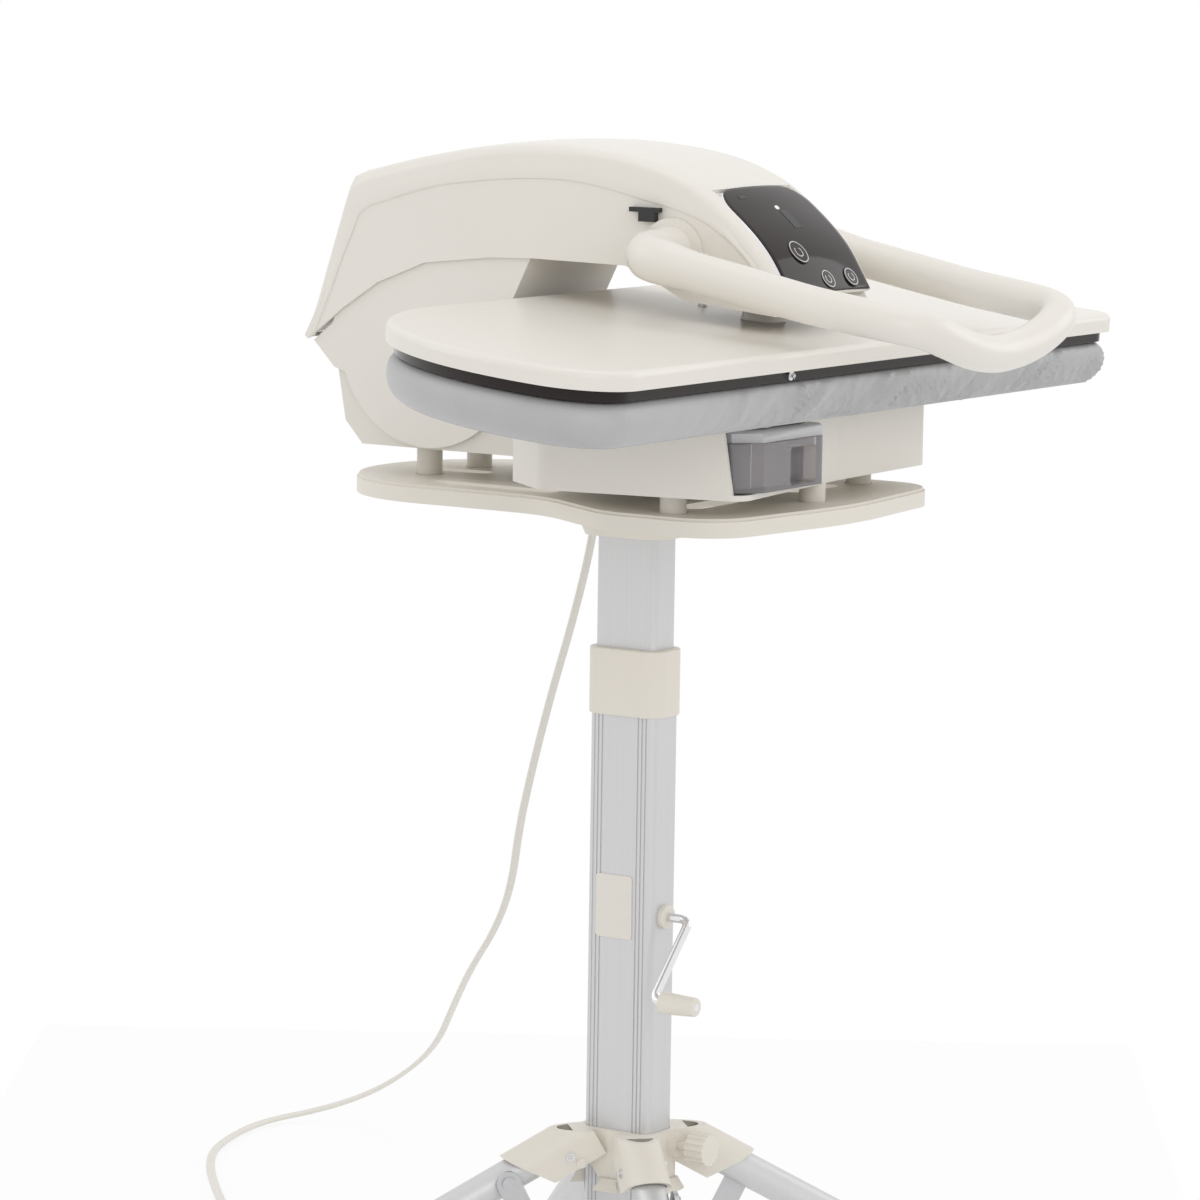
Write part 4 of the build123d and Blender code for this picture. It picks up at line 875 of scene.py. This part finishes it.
# Down the leg from its pin, which side of the leg, and below the leg's axis
HOOD_PLACES = [(-0.002, 1, 0.006), (0.008, -1, 0.004)]
hood_spots = []
for azimuth in (45, 135, 225, 315):
    outwards = Vector((cos(radians(azimuth)), sin(radians(azimuth)), 0))
    sideways = Vector((-outwards.y, outwards.x, 0))
    down_leg = outwards * cos(LEG_FALL) - Vector((0, 0, sin(LEG_FALL)))
    over_leg = outwards * sin(LEG_FALL) + Vector((0, 0, cos(LEG_FALL)))
    pin = outwards * LEG_PIVOT_R + Vector((0, 0, LEG_PIVOT_Z))
    for down, side, drop in HOOD_PLACES:
        place = pin + down_leg * down + sideways * side * HOOD_SIDE - over_leg * drop
        hood_spots.append((place, sideways * side))
screws("hood_screws", "hub", hood_spots)


# Handle
# One moulded loop in the arm's cream plastic: a thick elbow on each boss, two side bars, and a grip
# that bows down in the middle. A black lever locks the arm.
HANDLE_SIDE = [
    (62, -62, 772), (82, -62.5, 772), (95, -70, 770.5), (100, -87, 767.5), (100.5, -110, 763),
    (100, -150, 755.5), (100.5, -190, 748), (100, -224, 743), (97, -247, 739.5), (85, -261.5, 735.5),
    (63, -267, 728), (33, -267.5, 720),
]
GRIP_MIDDLE = (0, -266.5, 716.5)
# Radius of the bar at each distance from its boss
HANDLE_GIRTH = [
    (0, 0.0170), (0.018, 0.0168), (0.040, 0.0146), (0.075, 0.0126), (0.180, 0.0121), (0.250, 0.0118),
]
HANDLE_RINGS, HANDLE_SIDES = 150, 28


def even_line(points, count):
    """Smooth line through points in millimetres, as count points at even steps."""
    rough = [point * MM for point in smooth_line(points, 16)]
    lengths = [0]
    for a, b in zip(rough, rough[1:]):
        lengths.append(lengths[-1] + (b - a).length)
    line, k = [], 0
    for i in range(count):
        goal = lengths[-1] * i / (count - 1)
        while k < len(rough) - 2 and lengths[k + 1] < goal:
            k += 1
        line.append(rough[k].lerp(rough[k + 1], min(1, (goal - lengths[k]) / (lengths[k + 1] - lengths[k]))))
    return line, lengths[-1]


left_bar = [(-x, y, z) for x, y, z in HANDLE_SIDE]
handle_path, handle_length = even_line(left_bar + [GRIP_MIDDLE] + HANDLE_SIDE[::-1], HANDLE_RINGS)


def handle_section(share):
    """Round section, thick at the bosses and slimmer towards the grip."""
    walked = min(share, 1 - share) * handle_length
    girth = HANDLE_GIRTH[-1][1]
    for (a, thick), (b, thin) in zip(HANDLE_GIRTH, HANDLE_GIRTH[1:]):
        if a <= walked <= b:
            part = (walked - a) / (b - a)
            girth = thick + (thin - thick) * part * part * (3 - 2 * part)
    turns = [2 * pi * i / HANDLE_SIDES for i in range(HANDLE_SIDES)]
    return [(girth * cos(turn), girth * sin(turn)) for turn in turns]


loop_handle = skin("loop_handle", tube_rings(handle_path, handle_section), cream)
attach(loop_handle, "handle")
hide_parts("handle")
dress(black, "lock_lever")


# Floor
# A plain pale sheet that shows white to the camera and keeps the shadow.
FLOOR_CORNERS = [(-5.32, -2.72, 0), (-5.13, -3.73, 0), (1.195, 0.25, 0), (0.682, 1.058, 0)]
FLOOR_WHITE = 0.85
floor_mesh = bpy.data.meshes.new("floor")
floor_mesh.from_pydata(FLOOR_CORNERS, [], [(0, 1, 2, 3)])
floor = bpy.data.objects.new("floor", floor_mesh)
bpy.context.collection.objects.link(floor)


def shown_white(tree, output, lit, share):
    """Mix the lit surface with plain white for the rays of camera, gloss and glass."""
    rays = tree.nodes.new("ShaderNodeLightPath")
    seen = tree.nodes.new("ShaderNodeMath")
    seen.operation = "ADD"
    tree.links.new(rays.outputs["Is Camera Ray"], seen.inputs[0])
    tree.links.new(rays.outputs["Is Glossy Ray"], seen.inputs[1])
    both = tree.nodes.new("ShaderNodeMath")
    both.operation = "ADD"
    both.use_clamp = True
    tree.links.new(seen.outputs[0], both.inputs[0])
    tree.links.new(rays.outputs["Is Transmission Ray"], both.inputs[1])
    factor = tree.nodes.new("ShaderNodeMath")
    factor.operation = "MULTIPLY"
    factor.inputs[1].default_value = share
    tree.links.new(both.outputs[0], factor.inputs[0])
    glow = tree.nodes.new("ShaderNodeBackground" if output.type == "OUTPUT_WORLD" else "ShaderNodeEmission")
    glow.inputs["Color"].default_value = (1, 1, 1, 1)
    pick = tree.nodes.new("ShaderNodeMixShader")
    tree.links.new(factor.outputs[0], pick.inputs[0])
    tree.links.new(lit, pick.inputs[1])
    tree.links.new(glow.outputs[0], pick.inputs[2])
    tree.links.new(pick.outputs[0], output.inputs["Surface"])


paper = Finish("floor_paper")
paper.surface({"Base Color": (0.93, 0.93, 0.93, 1), "Roughness": 0.8})
shown_white(paper.tree, paper.tree.nodes["Material Output"], paper.shader.outputs[0], FLOOR_WHITE)
floor_mesh.materials.append(paper.material)

world = bpy.data.worlds.new("studio")
bpy.context.scene.world = world
world.use_nodes = True
studio = world.node_tree
backdrop = studio.nodes["Background"]
backdrop.inputs["Color"].default_value = (1, 1, 1, 1)
backdrop.inputs["Strength"].default_value = 0.8
shown_white(studio, studio.nodes["World Output"], backdrop.outputs[0], 1.0)
